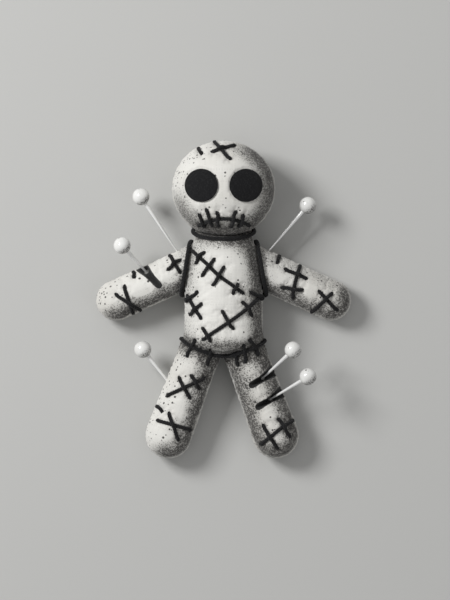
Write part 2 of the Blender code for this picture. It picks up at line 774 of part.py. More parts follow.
def sew_head(head):
    """Sew the mouth and the stitches of the forehead."""
    surface = [(surface_of(head), YARN_CLEAR)]
    stitch_group("mouth_stitching", HEAD_PLAN, arc_points((0.01, -0.61), 0.51, 0.15), [
        [(-0.47, -0.52), (-0.35, -0.77)],
        [(-0.34, -0.41), (-0.21, -0.78)],
        [(-0.12, -0.47), (-0.10, -0.80)],
        [(0.23, -0.45), (0.14, -0.80)],
        [(0.38, -0.53), (0.28, -0.79)],
    ], surface)
    stitch_group("forehead_cross", HEAD_PLAN, [(-0.19, 0.98), (0.13, 0.59)],
                 [[(-0.24, 0.75), (0.23, 0.89)]], surface)
    stitch_group("forehead_stitch", HEAD_PLAN, [(-0.49, 0.86), (-0.42, 0.69)], [], surface)


def sew_torso(parts, rings):
    """Sew the three long scars of the torso."""
    surface = [(surface_of(parts["torso"]), YARN_CLEAR)]
    others = [(closed_line(ring), CORD_APART) for ring in rings.values()]
    chest = [(-0.83, 0.10), (-0.37, 0.24), (-0.10, 0.33), (0.50, 0.475)]
    stitch_group("chest_scar", TORSO_PLAN, chest, [
        [(-0.48, 0.12), (-0.71, 0.23)],
        [(-0.23, 0.18), (-0.54, 0.33)],
        [(0.02, 0.25), (-0.27, 0.41)],
        [(0.38, 0.39), (0.20, 0.48)],
    ], surface, others)
    flank = [(-0.93, 0.49), (-0.86, 0.51), (-0.70, 0.61), (-0.55, 0.69)]
    stitch_group("side_scar", TORSO_PLAN, flank, [
        [(-0.63, 0.46), (-0.95, 0.55)],
        [(-0.53, 0.56), (-0.85, 0.66)],
    ], surface, others)
    belly = [(-0.55, 0.87), (0.12, 0.72), (0.56, 0.61), (0.93, 0.50)]
    stitch_group("belly_scar", TORSO_PLAN, belly, [
        [(-0.53, 0.76), (-0.32, 0.88)],
        [(-0.04, 0.62), (0.23, 0.78)],
        [(0.47, 0.54), (0.71, 0.67)],
        [(0.65, 0.46), (0.93, 0.525)],
    ], surface, others)


def sew_arms(parts, rings):
    """Sew the stitches of both arms."""
    for side in ARMS:
        ring = [(closed_line(rings["armhole_seam_" + side]), CORD_APART)]
        surface = [(surface_of(parts[name]), YARN_CLEAR) for name in ("arm_" + side, "torso")]
        plan = ARMS[side].plan
        if side == "left":
            stitch_group("shoulder_cross_left", plan, [(1.05, 0.43), (-0.09, 0.41)],
                         [[(0.30, 0.50), (0.50, 0.355)]], surface, ring)
            stitch_group("forearm_stitch_left", plan, [(1.01, 0.76), (0.60, 0.78)], [], surface, ring)
            stitch_group("hand_cross_left", plan, [(0.51, 0.89), (-0.95, 0.92)],
                         [[(0.29, 0.99), (-0.99, 0.84)]], surface, ring)
        else:
            stitch_group("shoulder_stitch_right", plan, [(1.05, 0.45), (0.53, 0.45)], [], surface, ring)
            scar = [(1.08, 0.64), (0.49, 0.65), (-0.18, 0.67), (-0.70, 0.70)]
            stitch_group("arm_scar_right", plan, scar, [
                [(0.46, 0.53), (0.45, 0.74)],
                [(-0.39, 0.57), (-0.11, 0.75)],
            ], surface, ring)
            stitch_group("hand_cross_right", plan, [(0.17, 0.87), (-0.34, 1.09)],
                         [[(0.35, 0.99), (-0.95, 0.89)]], surface, ring)


def sew_legs(parts):
    """Sew the stitches of both legs."""
    left = [(surface_of(parts["leg_left"]), YARN_CLEAR)]
    plan = LEGS["left"].plan
    thigh = [(0.67, 0.61), (0.06, 0.44), (-0.28, 0.35), (-0.59, 0.26)]
    stitch_group("thigh_scar_left", plan, thigh, [
        [(0.46, 0.36), (-0.31, 0.54)],
        [(0.01, 0.29), (-0.54, 0.41)],
    ], left)
    stitch_group("shin_stitch_left", plan, [(1.05, 0.73), (0.56, 0.78)], [], left)
    stitch_group("foot_cross_left", plan, [(0.69, 0.89), (-0.84, 0.86)],
                 [[(0.35, 0.76), (-0.46, 1.02)]], left)
    right = [(surface_of(parts["leg_right"]), YARN_CLEAR)]
    plan = LEGS["right"].plan
    foot = [(-0.76, 1.04), (-0.25, 1.00), (0.44, 0.94), (0.98, 0.91)]
    stitch_group("foot_scar_right", plan, foot, [
        [(-0.35, 0.84), (-0.13, 1.15)],
        [(0.34, 0.83), (0.52, 1.08)],
    ], right)


def main():
    """Build the doll from its stuffed parts outwards."""
    parts = stuffed_parts()
    for pin in PINS:
        make_pin(pin, parts)
    felt_eye("eye_left", parts["head"], -1)
    felt_eye("eye_right", parts["head"], 1)
    rings = sew_seams(parts)
    sew_head(parts["head"])
    sew_torso(parts, rings)
    sew_arms(parts, rings)
    sew_legs(parts)


main()
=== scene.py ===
"""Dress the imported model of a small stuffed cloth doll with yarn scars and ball-head pins.

The doll lies on its back. +X runs to the right of its front, +Y up to the head and +Z out
of its face. Left and right are those of someone looking at the front. Lengths are in metres.
"""

import logging
import math
from dataclasses import dataclass, field
from enum import Enum

import bmesh
import bpy
import numpy as np
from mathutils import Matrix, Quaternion, Vector, noise
from mathutils.bvhtree import BVHTree
from mathutils.kdtree import KDTree


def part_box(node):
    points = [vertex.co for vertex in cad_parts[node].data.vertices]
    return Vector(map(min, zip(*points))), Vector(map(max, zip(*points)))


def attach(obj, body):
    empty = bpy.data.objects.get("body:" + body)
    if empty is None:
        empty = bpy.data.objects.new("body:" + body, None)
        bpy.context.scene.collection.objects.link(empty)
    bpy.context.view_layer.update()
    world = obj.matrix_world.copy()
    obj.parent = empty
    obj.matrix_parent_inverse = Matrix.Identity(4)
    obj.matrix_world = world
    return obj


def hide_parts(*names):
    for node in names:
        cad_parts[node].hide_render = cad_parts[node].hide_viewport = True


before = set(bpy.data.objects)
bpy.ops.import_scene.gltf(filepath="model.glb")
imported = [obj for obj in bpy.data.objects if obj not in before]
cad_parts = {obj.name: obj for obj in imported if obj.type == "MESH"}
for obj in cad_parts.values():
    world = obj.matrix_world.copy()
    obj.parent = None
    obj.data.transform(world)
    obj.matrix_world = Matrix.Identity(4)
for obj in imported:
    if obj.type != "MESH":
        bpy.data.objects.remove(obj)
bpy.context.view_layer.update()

logging.basicConfig(level=logging.INFO, format="%(message)s")
LOG = logging.getLogger("doll")

MM = 0.001
UP = Vector((0, 0, 1))
SKY = 120 * MM

# Lengths that stand for none and for more than the doll has
TINY = 1e-9
POINT_LIKE = 1e-6
FAR = 1.0

# How finely curves are laid, creases are searched and the cloth is simulated
CURVE_SHARES = 12
SLIDE_HALVINGS = 24
TOUCH_DISTANCE = 0.002 * MM
MERGE_DISTANCE = 0.005 * MM
BORE_PLAY = 0.42 * MM
TUCK_NEAR = 4.0 * MM
FLOOR_LIFT = 0.02 * MM
CLOTH_FRAMES = 20


class Side(Enum):
    """A side of the doll, with the sign of its X."""

    LEFT = -1
    RIGHT = 1

    @property
    def word(self) -> str:
        """Give the word that ends the names of this side's pieces."""
        return self.name.lower()


class Slot(Enum):
    """The record's material slots."""

    CLOTH = "doll_cloth"
    FELT = "black_felt"
    YARN = "black_yarn"
    BALL = "pin_ball_gloss"
    STEEL = "pin_steel"


# Sizes of the doll, as in the part's source
HEAD_WIDTH = 48.7 * MM
HEAD_HEIGHT = 45.6 * MM
HEAD_DEPTH = 40.0 * MM
TORSO_LENGTH = 55.9 * MM
CHEST_WIDTH = 36.6 * MM
BELLY_WIDTH = 37.6 * MM
TORSO_DEPTH = 30.0 * MM
SHOULDER_DROP = 17.0 * MM
SEAT_HEIGHT = 8.0 * MM
NECK_TUCK = 9.0 * MM
ARM_WIDTH = 19.2 * MM
ARM_DEPTH = 17.0 * MM
ARM_REACH = 55.5 * MM
ARM_DROOP = 24.3
ARM_START = 6.9 * MM
ARM_ROOT = 12.0 * MM
SHOULDER_RISE = 5.0 * MM
HIP_WIDTH = 20.0 * MM
FOOT_WIDTH = 22.0 * MM
LEG_LENGTH = 42.7 * MM
LEG_DEPTH = 19.5 * MM
LEG_SPLAY = 20.5
HIP_SPREAD = 20.6 * MM
HIP_SHIFT = -0.7 * MM
HIP_HEIGHT = 2.5 * MM
WAIST_BRIDGE = 2.6 * MM
HIP_RISE = 4.2 * MM
FLAT_SINK = 0.5 * MM
EYE_DIAMETER = 15.7 * MM
EYE_THICKNESS = 1.2 * MM
EYE_SPREAD = 21.1 * MM
EYE_RAISE = 1.6 * MM
YARN_RADIUS = 0.9 * MM
CORD_RADIUS = 1.05 * MM
NECK_CORD_DROP = 1.0 * MM
BALL_RADIUS = 4.05 * MM
SHAFT_RADIUS = 0.95 * MM
POINT_RADIUS = 0.15 * MM
PIN_LENGTH = 35.0 * MM
LAY_GAP = 0.15 * MM
TUCK_WIDE = 5.2 * MM
TUCK_NARROW = 2.4 * MM
TUCK_DEEPEN = 1.4
TUCK_SLOPE = 0.40

# How much further than their solids the armhole yarns bow out in front
ARMHOLE_BOW = 1.3 * MM

DOLL_LENGTH = (HEAD_HEIGHT + TORSO_LENGTH - HIP_HEIGHT + FOOT_WIDTH / 2
               + LEG_LENGTH * math.cos(math.radians(LEG_SPLAY)))
HEAD_Y = (DOLL_LENGTH - HEAD_HEIGHT) / 2
NECK_Y = DOLL_LENGTH / 2 - HEAD_HEIGHT
CROTCH_Y = NECK_Y - TORSO_LENGTH
HEAD_Z = HEAD_DEPTH / 2 - FLAT_SINK
TORSO_Z = TORSO_DEPTH / 2 - FLAT_SINK
HAND_Z = ARM_DEPTH / 2 - FLAT_SINK
FOOT_Z = LEG_DEPTH / 2 - FLAT_SINK


@dataclass(frozen=True)
class Plan:
    """A grid laid over one stuffed part, as seen from the front."""

    start: Vector
    side: Vector
    run: Vector

    def at(self, side: float, run: float) -> Vector:
        """Give the point at these shares of the part's half width and its length."""
        return self.start + side * self.side + run * self.run


@dataclass(frozen=True)
class Spine:
    """The middle line of a stuffed part, at the height of its side seams."""

    start: Vector
    end: Vector
    start_half: float
    end_half: float
    half_depth: float

    def measure(self, points: np.ndarray) -> dict[str, np.ndarray]:
        """Measure points against the cloth panels of the part.

        Args:
            points: Rows of X, Y and Z.

        Returns:
            along and across, the place on the flat panel; run, the place along the side
            seam; lift, the height above the side seam; and out, the flat way from the
            middle line to the place, as rows of X and Y.
        """
        start, end = np.array(self.start), np.array(self.end)
        line = (end - start)[:2]
        length = float(np.hypot(*line))
        way = line / length if length > POINT_LIKE else np.array((0.0, 1.0))
        flat = points[:, :2] - start[:2]
        along = flat @ way
        sideways = np.array((-way[1], way[0]))
        across = flat @ sideways
        share = np.clip(along / max(length, POINT_LIKE), 0, 1)
        half = self.start_half + (self.end_half - self.start_half) * share
        past = along - np.clip(along, -FAR if length > POINT_LIKE else 0, length)
        reach = np.hypot(past, across)
        curved = half * np.arcsin(np.clip(reach / half, 0, 1))
        stretch = np.where(reach > TINY, curved / np.maximum(reach, TINY), 1)
        turn = half * np.arctan2(past, np.abs(across) + TINY)
        seam_height = start[2] + (end[2] - start[2]) * share
        out = past[:, None] * way + across[:, None] * sideways
        return {
            "along": along - past + past * stretch,
            "across": across * stretch,
            "run": along - past + turn,
            "lift": points[:, 2] - seam_height,
            "out": out / np.maximum(reach, TINY)[:, None],
        }

    def height_at(self, point: Vector) -> float:
        """Measure the height of the middle line beside a point of the plan.

        Args:
            point: The point.

        Returns:
            The height.
        """
        line = (self.end - self.start).xy
        share = (point.xy - self.start.xy).dot(line) / line.length_squared
        return self.start.z + (self.end.z - self.start.z) * share


@dataclass(frozen=True)
class Tuck:
    """The groove that a pin pulls in the front of a limb, from the limb's edge inwards."""

    inner: Vector
    edge: Vector

    @classmethod
    def between(cls, plan: Plan, spine: Spine, entry: tuple, tuck_end: tuple) -> "Tuck":
        """Work out the groove's middle line.

        Args:
            plan: The limb's plan.
            spine: The limb's middle line.
            entry: Where the pin goes in, in shares of the plan.
            tuck_end: The groove's inner end, in shares of the plan.

        Returns:
            The groove, from its inner end to the limb's edge.
        """
        unit = plan.side.length
        widen = spine.end_half - spine.start_half
        half = spine.start_half + widen * tuck_end[1]
        side_step, run_step = entry[0] - tuck_end[0], entry[1] - tuck_end[1]
        reach = (half - tuck_end[0] * unit) / (side_step * unit - widen * run_step)
        inner = plan.at(*tuck_end)
        edge = plan.at(tuck_end[0] + side_step * reach, tuck_end[1] + run_step * reach)
        depth = spine.half_depth * half / spine.end_half
        inner.z = spine.height_at(inner) + depth * math.sqrt(1 - (tuck_end[0] * unit / half) ** 2)
        middle = spine.height_at(edge)
        edge.z = middle + (inner.z - middle) * TUCK_SLOPE
        return cls(inner, edge)

    def distances(self, places: np.ndarray) -> np.ndarray:
        """Measure how far places lie outside the groove.

        Args:
            places: Rows of places.

        Returns:
            A distance for each place, below zero inside the groove.
        """
        length = (self.edge - self.inner).length
        way = (self.edge - self.inner) / length
        across = UP.cross(way).normalized()
        off = places - np.array(self.inner)
        run = off @ np.array(way)
        radius = (TUCK_NARROW + (TUCK_WIDE - TUCK_NARROW) * np.maximum(run, 0) / length) / 2
        aside = off @ np.array(across)
        down = off @ np.array(way.cross(across)) / TUCK_DEEPEN
        return np.sqrt(aside ** 2 + down ** 2 + np.minimum(run, 0) ** 2) - radius


@dataclass(frozen=True)
class Joint:
    """A sewn joint between two stuffed parts, with the axis that its gathers fan out from."""

    neighbour: str
    foot: Vector
    axis: Vector
    waves: int
    # How much painted shade the cloth takes beside the joint, as in a crease
    painted_shade: float = 1.0


@dataclass(frozen=True)
class ShadeWay:
    """A flat way out of the doll's parts towards which painted shade darkens them."""

    way: tuple
    low: float
    high: float
    strength: float = 1.0

    def share(self, out: np.ndarray) -> np.ndarray:
        """Give how much painted shade the cloth takes that lies these flat ways out from the middle
        line.
        """
        return self.strength * eased(out @ np.array(self.way), self.low, self.high)


# The lower right, away from the key lamp, takes the most painted shade
LOWER_RIGHT = ShadeWay((0.80, -0.60), -0.55, 0.45)


def arm_line(side: Side) -> tuple[Vector, Vector, Plan]:
    """Lay out an arm.

    Args:
        side: The arm's side of the doll.

    Returns:
        Its sewn end, the middle of its hand and its plan.
    """
    droop = math.radians(ARM_DROOP)
    outward = Vector((side.value * math.cos(droop), -math.sin(droop), 0))
    upward = Vector((side.value * math.sin(droop), math.cos(droop), 0))
    start = Vector((0, NECK_Y - ARM_START, 0))
    root = start + outward * ARM_ROOT + UP * (HAND_Z + SHOULDER_RISE)
    tip = start + outward * ARM_REACH + UP * HAND_Z
    return root, tip, Plan(start, upward * ARM_WIDTH / 2, outward * ARM_REACH)


def leg_line(side: Side) -> tuple[Vector, Vector, Plan]:
    """Lay out a leg.

    Args:
        side: The leg's side of the doll.

    Returns:
        Its hip, the middle of its foot and its plan.
    """
    splay = math.radians(LEG_SPLAY)
    downward = Vector((side.value * math.sin(splay), -math.cos(splay), 0))
    outward = Vector((side.value * math.cos(splay), math.sin(splay), 0))
    hip = Vector((HIP_SHIFT + side.value * HIP_SPREAD / 2, CROTCH_Y + HIP_HEIGHT, 0))
    root = hip + UP * (FOOT_Z + HIP_RISE)
    tip = hip + downward * LEG_LENGTH + UP * FOOT_Z
    return root, tip, Plan(hip, outward * FOOT_WIDTH / 2, downward * LEG_LENGTH)


HEAD_PLAN = Plan(Vector((0, HEAD_Y, 0)), Vector((HEAD_WIDTH / 2, 0, 0)),
                 Vector((0, HEAD_HEIGHT / 2, 0)))
TORSO_PLAN = Plan(Vector((0, NECK_Y, 0)), Vector((BELLY_WIDTH / 2, 0, 0)),
                  Vector((0, -TORSO_LENGTH, 0)))
PLANS = {
    "head": HEAD_PLAN,
    "torso": TORSO_PLAN,
    "arm_left": arm_line(Side.LEFT)[2],
    "arm_right": arm_line(Side.RIGHT)[2],
    "leg_left": leg_line(Side.LEFT)[2],
    "leg_right": leg_line(Side.RIGHT)[2],
}


def deselect_all() -> None:
    """Leave every object unselected and none active."""
    for obj in bpy.context.selected_objects:
        obj.select_set(False)
    bpy.context.view_layer.objects.active = None


def pick(obj: bpy.types.Object) -> bpy.types.Object:
    """Make an object the only selected and the active one.

    Args:
        obj: The object.

    Returns:
        The same object.
    """
    deselect_all()
    obj.select_set(True)
    bpy.context.view_layer.objects.active = obj
    return obj


def just_added(name: str) -> bpy.types.Object:
    """Name the object that an operator has just added, and its mesh.

    Args:
        name: Its new name.

    Returns:
        The object.
    """
    obj = bpy.context.active_object
    obj.name = name
    obj.data.name = name
    return obj


def apply_modifiers(obj: bpy.types.Object) -> None:
    """Apply an object's modifiers in their order.

    Args:
        obj: The object.
    """
    pick(obj)
    for modifier in list(obj.modifiers):
        bpy.ops.object.modifier_apply(modifier=modifier.name)


def apply_place(obj: bpy.types.Object) -> None:
    """Move an object's place, turn and scale into its mesh."""
    pick(obj)
    bpy.ops.object.transform_apply(location=True, rotation=True, scale=True)


def coordinates(obj: bpy.types.Object) -> np.ndarray:
    """Read the places of a mesh's vertices.

    Args:
        obj: The mesh's object.

    Returns:
        Rows of X, Y and Z.
    """
    places = np.empty(len(obj.data.vertices) * 3)
    obj.data.vertices.foreach_get("co", places)
    return places.reshape(-1, 3)


def set_coordinates(obj: bpy.types.Object, places: np.ndarray) -> None:
    """Move a mesh's vertices to new places."""
    obj.data.vertices.foreach_set("co", places.ravel())
    obj.data.update()


def normals(obj: bpy.types.Object) -> np.ndarray:
    """Read a mesh's vertex normals.

    Args:
        obj: The mesh's object.

    Returns:
        Rows of X, Y and Z.
    """
    found = np.empty(len(obj.data.vertices) * 3)
    obj.data.vertex_normals.foreach_get("vector", found)
    return found.reshape(-1, 3)


def store(obj: bpy.types.Object, name: str, values: np.ndarray) -> None:
    """Keep a number for each vertex of a mesh under a name."""
    attribute = obj.data.attributes.new(name, "FLOAT", "POINT")
    attribute.data.foreach_set("value", values.astype(np.float32))


def tree_of(obj: bpy.types.Object) -> BVHTree:
    """Give a search tree over a mesh whose object sits at the origin."""
    return BVHTree.FromPolygons([vertex.co for vertex in obj.data.vertices],
                                [face.vertices for face in obj.data.polygons])


def distances_to(tree: BVHTree, points: np.ndarray) -> np.ndarray:
    """Give how far each point lies from a surface."""
    return np.array([tree.find_nearest(Vector(point))[3] for point in points])


def point_tree(points: list[Vector]) -> KDTree:
    """Build a search tree over points.

    Args:
        points: The points.

    Returns:
        The tree, in which each point has its place in the list as its number.
    """
    tree = KDTree(len(points))
    for index, point in enumerate(points):
        tree.insert(point, index)
    tree.balance()
    return tree


def bell(distance: np.ndarray | float, width: float) -> np.ndarray | float:
    """Fall smoothly from one to nothing over a few widths."""
    return np.exp(-(distance / width) ** 2)


def eased(values: np.ndarray, low: float, high: float) -> np.ndarray:
    """Rise smoothly from nothing at one value to one at another."""
    share = np.clip((values - low) / (high - low), 0, 1)
    return share * share * (3 - 2 * share)


Given = float | tuple | bpy.types.NodeSocket


class Graph:
    """A node tree with short calls for adding and linking its nodes."""

    def __init__(self, tree: bpy.types.NodeTree) -> None:
        """Take the tree to build in."""
        self.tree = tree
        self.count = 0

    def add(self, kind: str, settings: dict | None = None, **inputs: Given) -> bpy.types.Node:
        """Add a node.

        Args:
            kind: The node's type without its "ShaderNode".
            settings: Values of the node's own properties.
            inputs: Values or sockets for its inputs, with _ for a space in their names.

        Returns:
            The node.
        """
        node = self.tree.nodes.new("ShaderNode" + kind)
        node.location = (200 * (self.count % 8), -220 * (self.count // 8))
        self.count += 1
        for name, value in (settings or {}).items():
            setattr(node, name, value)
        for name, value in inputs.items():
            self.feed(node.inputs[name.replace("_", " ")], value)
        return node

    def feed(self, socket: bpy.types.NodeSocket, value: Given) -> None:
        """Link a socket to another one, or set its value.

        Args:
            socket: The input to feed.
            value: An output to link, or a value.
        """
        if isinstance(value, bpy.types.NodeSocket):
            self.tree.links.new(value, socket)
        else:
            socket.default_value = value

    def math(self, operation: str, *values: Given) -> bpy.types.NodeSocket:
        """Add a Math node.

        Args:
            operation: Its operation.
            values: Its inputs, in their order.

        Returns:
            Its result.
        """
        node = self.add("Math", {"operation": operation})
        for socket, value in zip(node.inputs, values):
            self.feed(socket, value)
        return node.outputs[0]

    def scaled(self, vector: Given, scale: Given) -> bpy.types.NodeSocket:
        """Multiply a vector.

        Args:
            vector: The vector.
            scale: A number, or a number for each axis.

        Returns:
            The product.
        """
        if isinstance(scale, tuple):
            node = self.add("VectorMath", {"operation": "MULTIPLY"})
            self.feed(node.inputs[1], scale)
        else:
            node = self.add("VectorMath", {"operation": "SCALE"}, Scale=scale)
        self.feed(node.inputs[0], vector)
        return node.outputs[0]

    def ramp(self, value: Given, low: Given, high: Given, to_low: Given = 0.0,
             to_high: Given = 1.0) -> bpy.types.NodeSocket:
        """Map a range of a value smoothly to another range.

        Args:
            value: The value.
            low: Where the range starts.
            high: Where it ends.
            to_low: The result at its start.
            to_high: The result at its end.

        Returns:
            The mapped value.
        """
        node = self.add("MapRange", {"interpolation_type": "SMOOTHSTEP"})
        for name, given in zip(("Value", "From Min", "From Max", "To Min", "To Max"),
                               (value, low, high, to_low, to_high)):
            self.feed(node.inputs[name], given)
        return node.outputs["Result"]

    def mix(self, share: Given, first: Given, second: Given) -> bpy.types.NodeSocket:
        """Mix two colours.

        Args:
            share: The share of the second one.
            first: A colour.
            second: Another colour.

        Returns:
            The mixed colour.
        """
        node = self.add("Mix", {"data_type": "RGBA"})
        for index, given in ((0, share), (6, first), (7, second)):
            self.feed(node.inputs[index], given)
        return node.outputs[2]

    def noise(self, vector: Given, scale: float, detail: float = 3.0) -> bpy.types.NodeSocket:
        """Add a noise over a vector in metres, with a scale in bumps a metre."""
        return self.add("TexNoise", None, Vector=vector, Scale=scale, Detail=detail).outputs[0]

    def bump(self, height: Given, distance: float, strength: float,
             normal: bpy.types.NodeSocket | None = None) -> bpy.types.NodeSocket:
        """Add a Bump node.

        Args:
            height: The height, from nothing to one.
            distance: How high one stands, in metres.
            strength: The strength.
            normal: The normal to start from, if another bump lies below.

        Returns:
            The bumped normal.
        """
        node = self.add("Bump", None, Height=height, Distance=distance, Strength=strength)
        if normal is not None:
            self.feed(node.inputs["Normal"], normal)
        return node.outputs["Normal"]


def new_group(name: str, inputs: dict[str, str], outputs: dict[str, str]) -> tuple[
        bpy.types.NodeTree, Graph, bpy.types.NodeOutputs, bpy.types.NodeInputs]:
    """Make an empty shader node group.

    Args:
        name: The group's name.
        inputs: Socket kinds by name, such as Float, Vector or Color.
        outputs: The same for what it gives.

    Returns:
        The group, its graph, what it is given and what it has to give, both by name.
    """
    tree = bpy.data.node_groups.new(name, "ShaderNodeTree")
    for sockets, way in ((inputs, "INPUT"), (outputs, "OUTPUT")):
        for socket_name, kind in sockets.items():
            tree.interface.new_socket(socket_name, in_out=way, socket_type="NodeSocket" + kind)
    given = tree.nodes.new("NodeGroupInput")
    result = tree.nodes.new("NodeGroupOutput")
    return tree, Graph(tree), given.outputs, result.inputs


def weave_group() -> bpy.types.NodeTree:
    """Make the plain weave: threads that pass over and under each other.

    Returns:
        The node group.
    """
    tree, graph, given, result = new_group(
        "plain_weave", {"Vector": "Vector", "Threads": "Float"},
        {"Height": "Float", "Tone": "Float"})
    spread = graph.add("SeparateXYZ", None, Vector=graph.scaled(given["Vector"], given["Threads"]))
    warp, weft = spread.outputs[0], spread.outputs[1]
    warp_cell, weft_cell = graph.math("FLOOR", warp), graph.math("FLOOR", weft)
    round_warp, round_weft = (
        graph.math("SINE", graph.math("MULTIPLY", graph.math("FRACT", run), math.pi))
        for run in (warp, weft))
    over = graph.math("FLOORED_MODULO", graph.math("ADD", warp_cell, weft_cell), 2.0)
    tops = []
    for across, along in ((round_warp, round_weft), (round_weft, round_warp)):
        crown = graph.math("MULTIPLY_ADD", along, 0.4, 0.6)
        tops.append(graph.math("MULTIPLY", graph.math("POWER", across, 0.55), crown))
    under = graph.math("SUBTRACT", 1.0, over)
    graph.feed(result["Height"], graph.math(
        "ADD", graph.math("MULTIPLY", tops[0], over), graph.math("MULTIPLY", tops[1], under)))
    tones = [graph.add("TexWhiteNoise", {"noise_dimensions": "1D"}, W=cell).outputs["Value"]
             for cell in (warp_cell, weft_cell)]
    graph.feed(result["Tone"], graph.math(
        "ADD", graph.math("MULTIPLY", tones[0], over), graph.math("MULTIPLY", tones[1], under)))
    return tree


def speck_group() -> bpy.types.NodeTree:
    """Make specks: small round dots of uneven size, each kept or left out by chance.

    Returns:
        The node group.
    """
    tree, graph, given, result = new_group(
        "specks", {"Vector": "Vector", "Density": "Float", "Size": "Float"}, {"Mask": "Float"})
    cells = graph.add("TexVoronoi", {"voronoi_dimensions": "3D"}, Vector=given["Vector"], Scale=1.0,
                      Randomness=0.75)
    chance = graph.add("SeparateColor", None, Color=cells.outputs["Color"])
    kept = graph.math("LESS_THAN", chance.outputs[0], given["Density"])
    size = graph.math("MULTIPLY", given["Size"],
                      graph.math("MULTIPLY_ADD", chance.outputs[1], 0.65, 0.35))
    inner = graph.math("MULTIPLY", size, 0.7)
    dot = graph.ramp(cells.outputs["Distance"], inner, size, 1.0, 0.0)
    graph.feed(result["Mask"], graph.math("MULTIPLY", dot, kept))
    return tree


def fibre_group() -> bpy.types.NodeTree:
    """Make matted fibres: fine noise in two sizes, drawn out along one direction.

    Returns:
        The node group.
    """
    tree, graph, given, result = new_group(
        "fibres", {"Vector": "Vector", "Fineness": "Float"}, {"Height": "Float", "Tone": "Float"})
    warped = graph.add("VectorMath", {"operation": "ADD"})
    drift = graph.add("TexNoise", None, Vector=given["Vector"], Scale=320.0, Detail=2.0)
    graph.feed(warped.inputs[0], given["Vector"])
    graph.feed(warped.inputs[1], graph.scaled(drift.outputs["Color"], 1.2 * MM))
    strands = []
    for way in ((1.0, 0.28, 1.0), (0.28, 1.0, 1.0)):
        drawn = graph.scaled(graph.scaled(warped.outputs[0], way), given["Fineness"])
        strands.append(graph.noise(drawn, 1.0, 4.0))
    graph.feed(result["Height"], graph.math("MAXIMUM", *strands))
    graph.feed(result["Tone"], graph.math("MULTIPLY", *strands))
    return tree


@dataclass(frozen=True)
class Groups:
    """The node groups that the finishes share."""

    weave: bpy.types.NodeTree = field(default_factory=weave_group)
    specks: bpy.types.NodeTree = field(default_factory=speck_group)
    fibres: bpy.types.NodeTree = field(default_factory=fibre_group)


GROUPS = Groups()


def place_group(graph: Graph, tree: bpy.types.NodeTree,
                **inputs: Given) -> bpy.types.NodeOutputs:
    """Place a node group in a material with its own values.

    Args:
        graph: The material's graph.
        tree: The node group.
        inputs: Values or sockets for its inputs.

    Returns:
        Its outputs.
    """
    node = graph.tree.nodes.new("ShaderNodeGroup")
    node.node_tree = tree
    for name, value in inputs.items():
        graph.feed(node.inputs[name], value)
    return node.outputs


def new_material(name: str) -> tuple[bpy.types.Material, Graph, bpy.types.Node]:
    """Make a material.

    Args:
        name: Its name.

    Returns:
        The material, its graph and its Principled shader.
    """
    material = bpy.data.materials.new(name)
    material.use_nodes = True
    graph = Graph(material.node_tree)
    return material, graph, material.node_tree.nodes["Principled BSDF"]


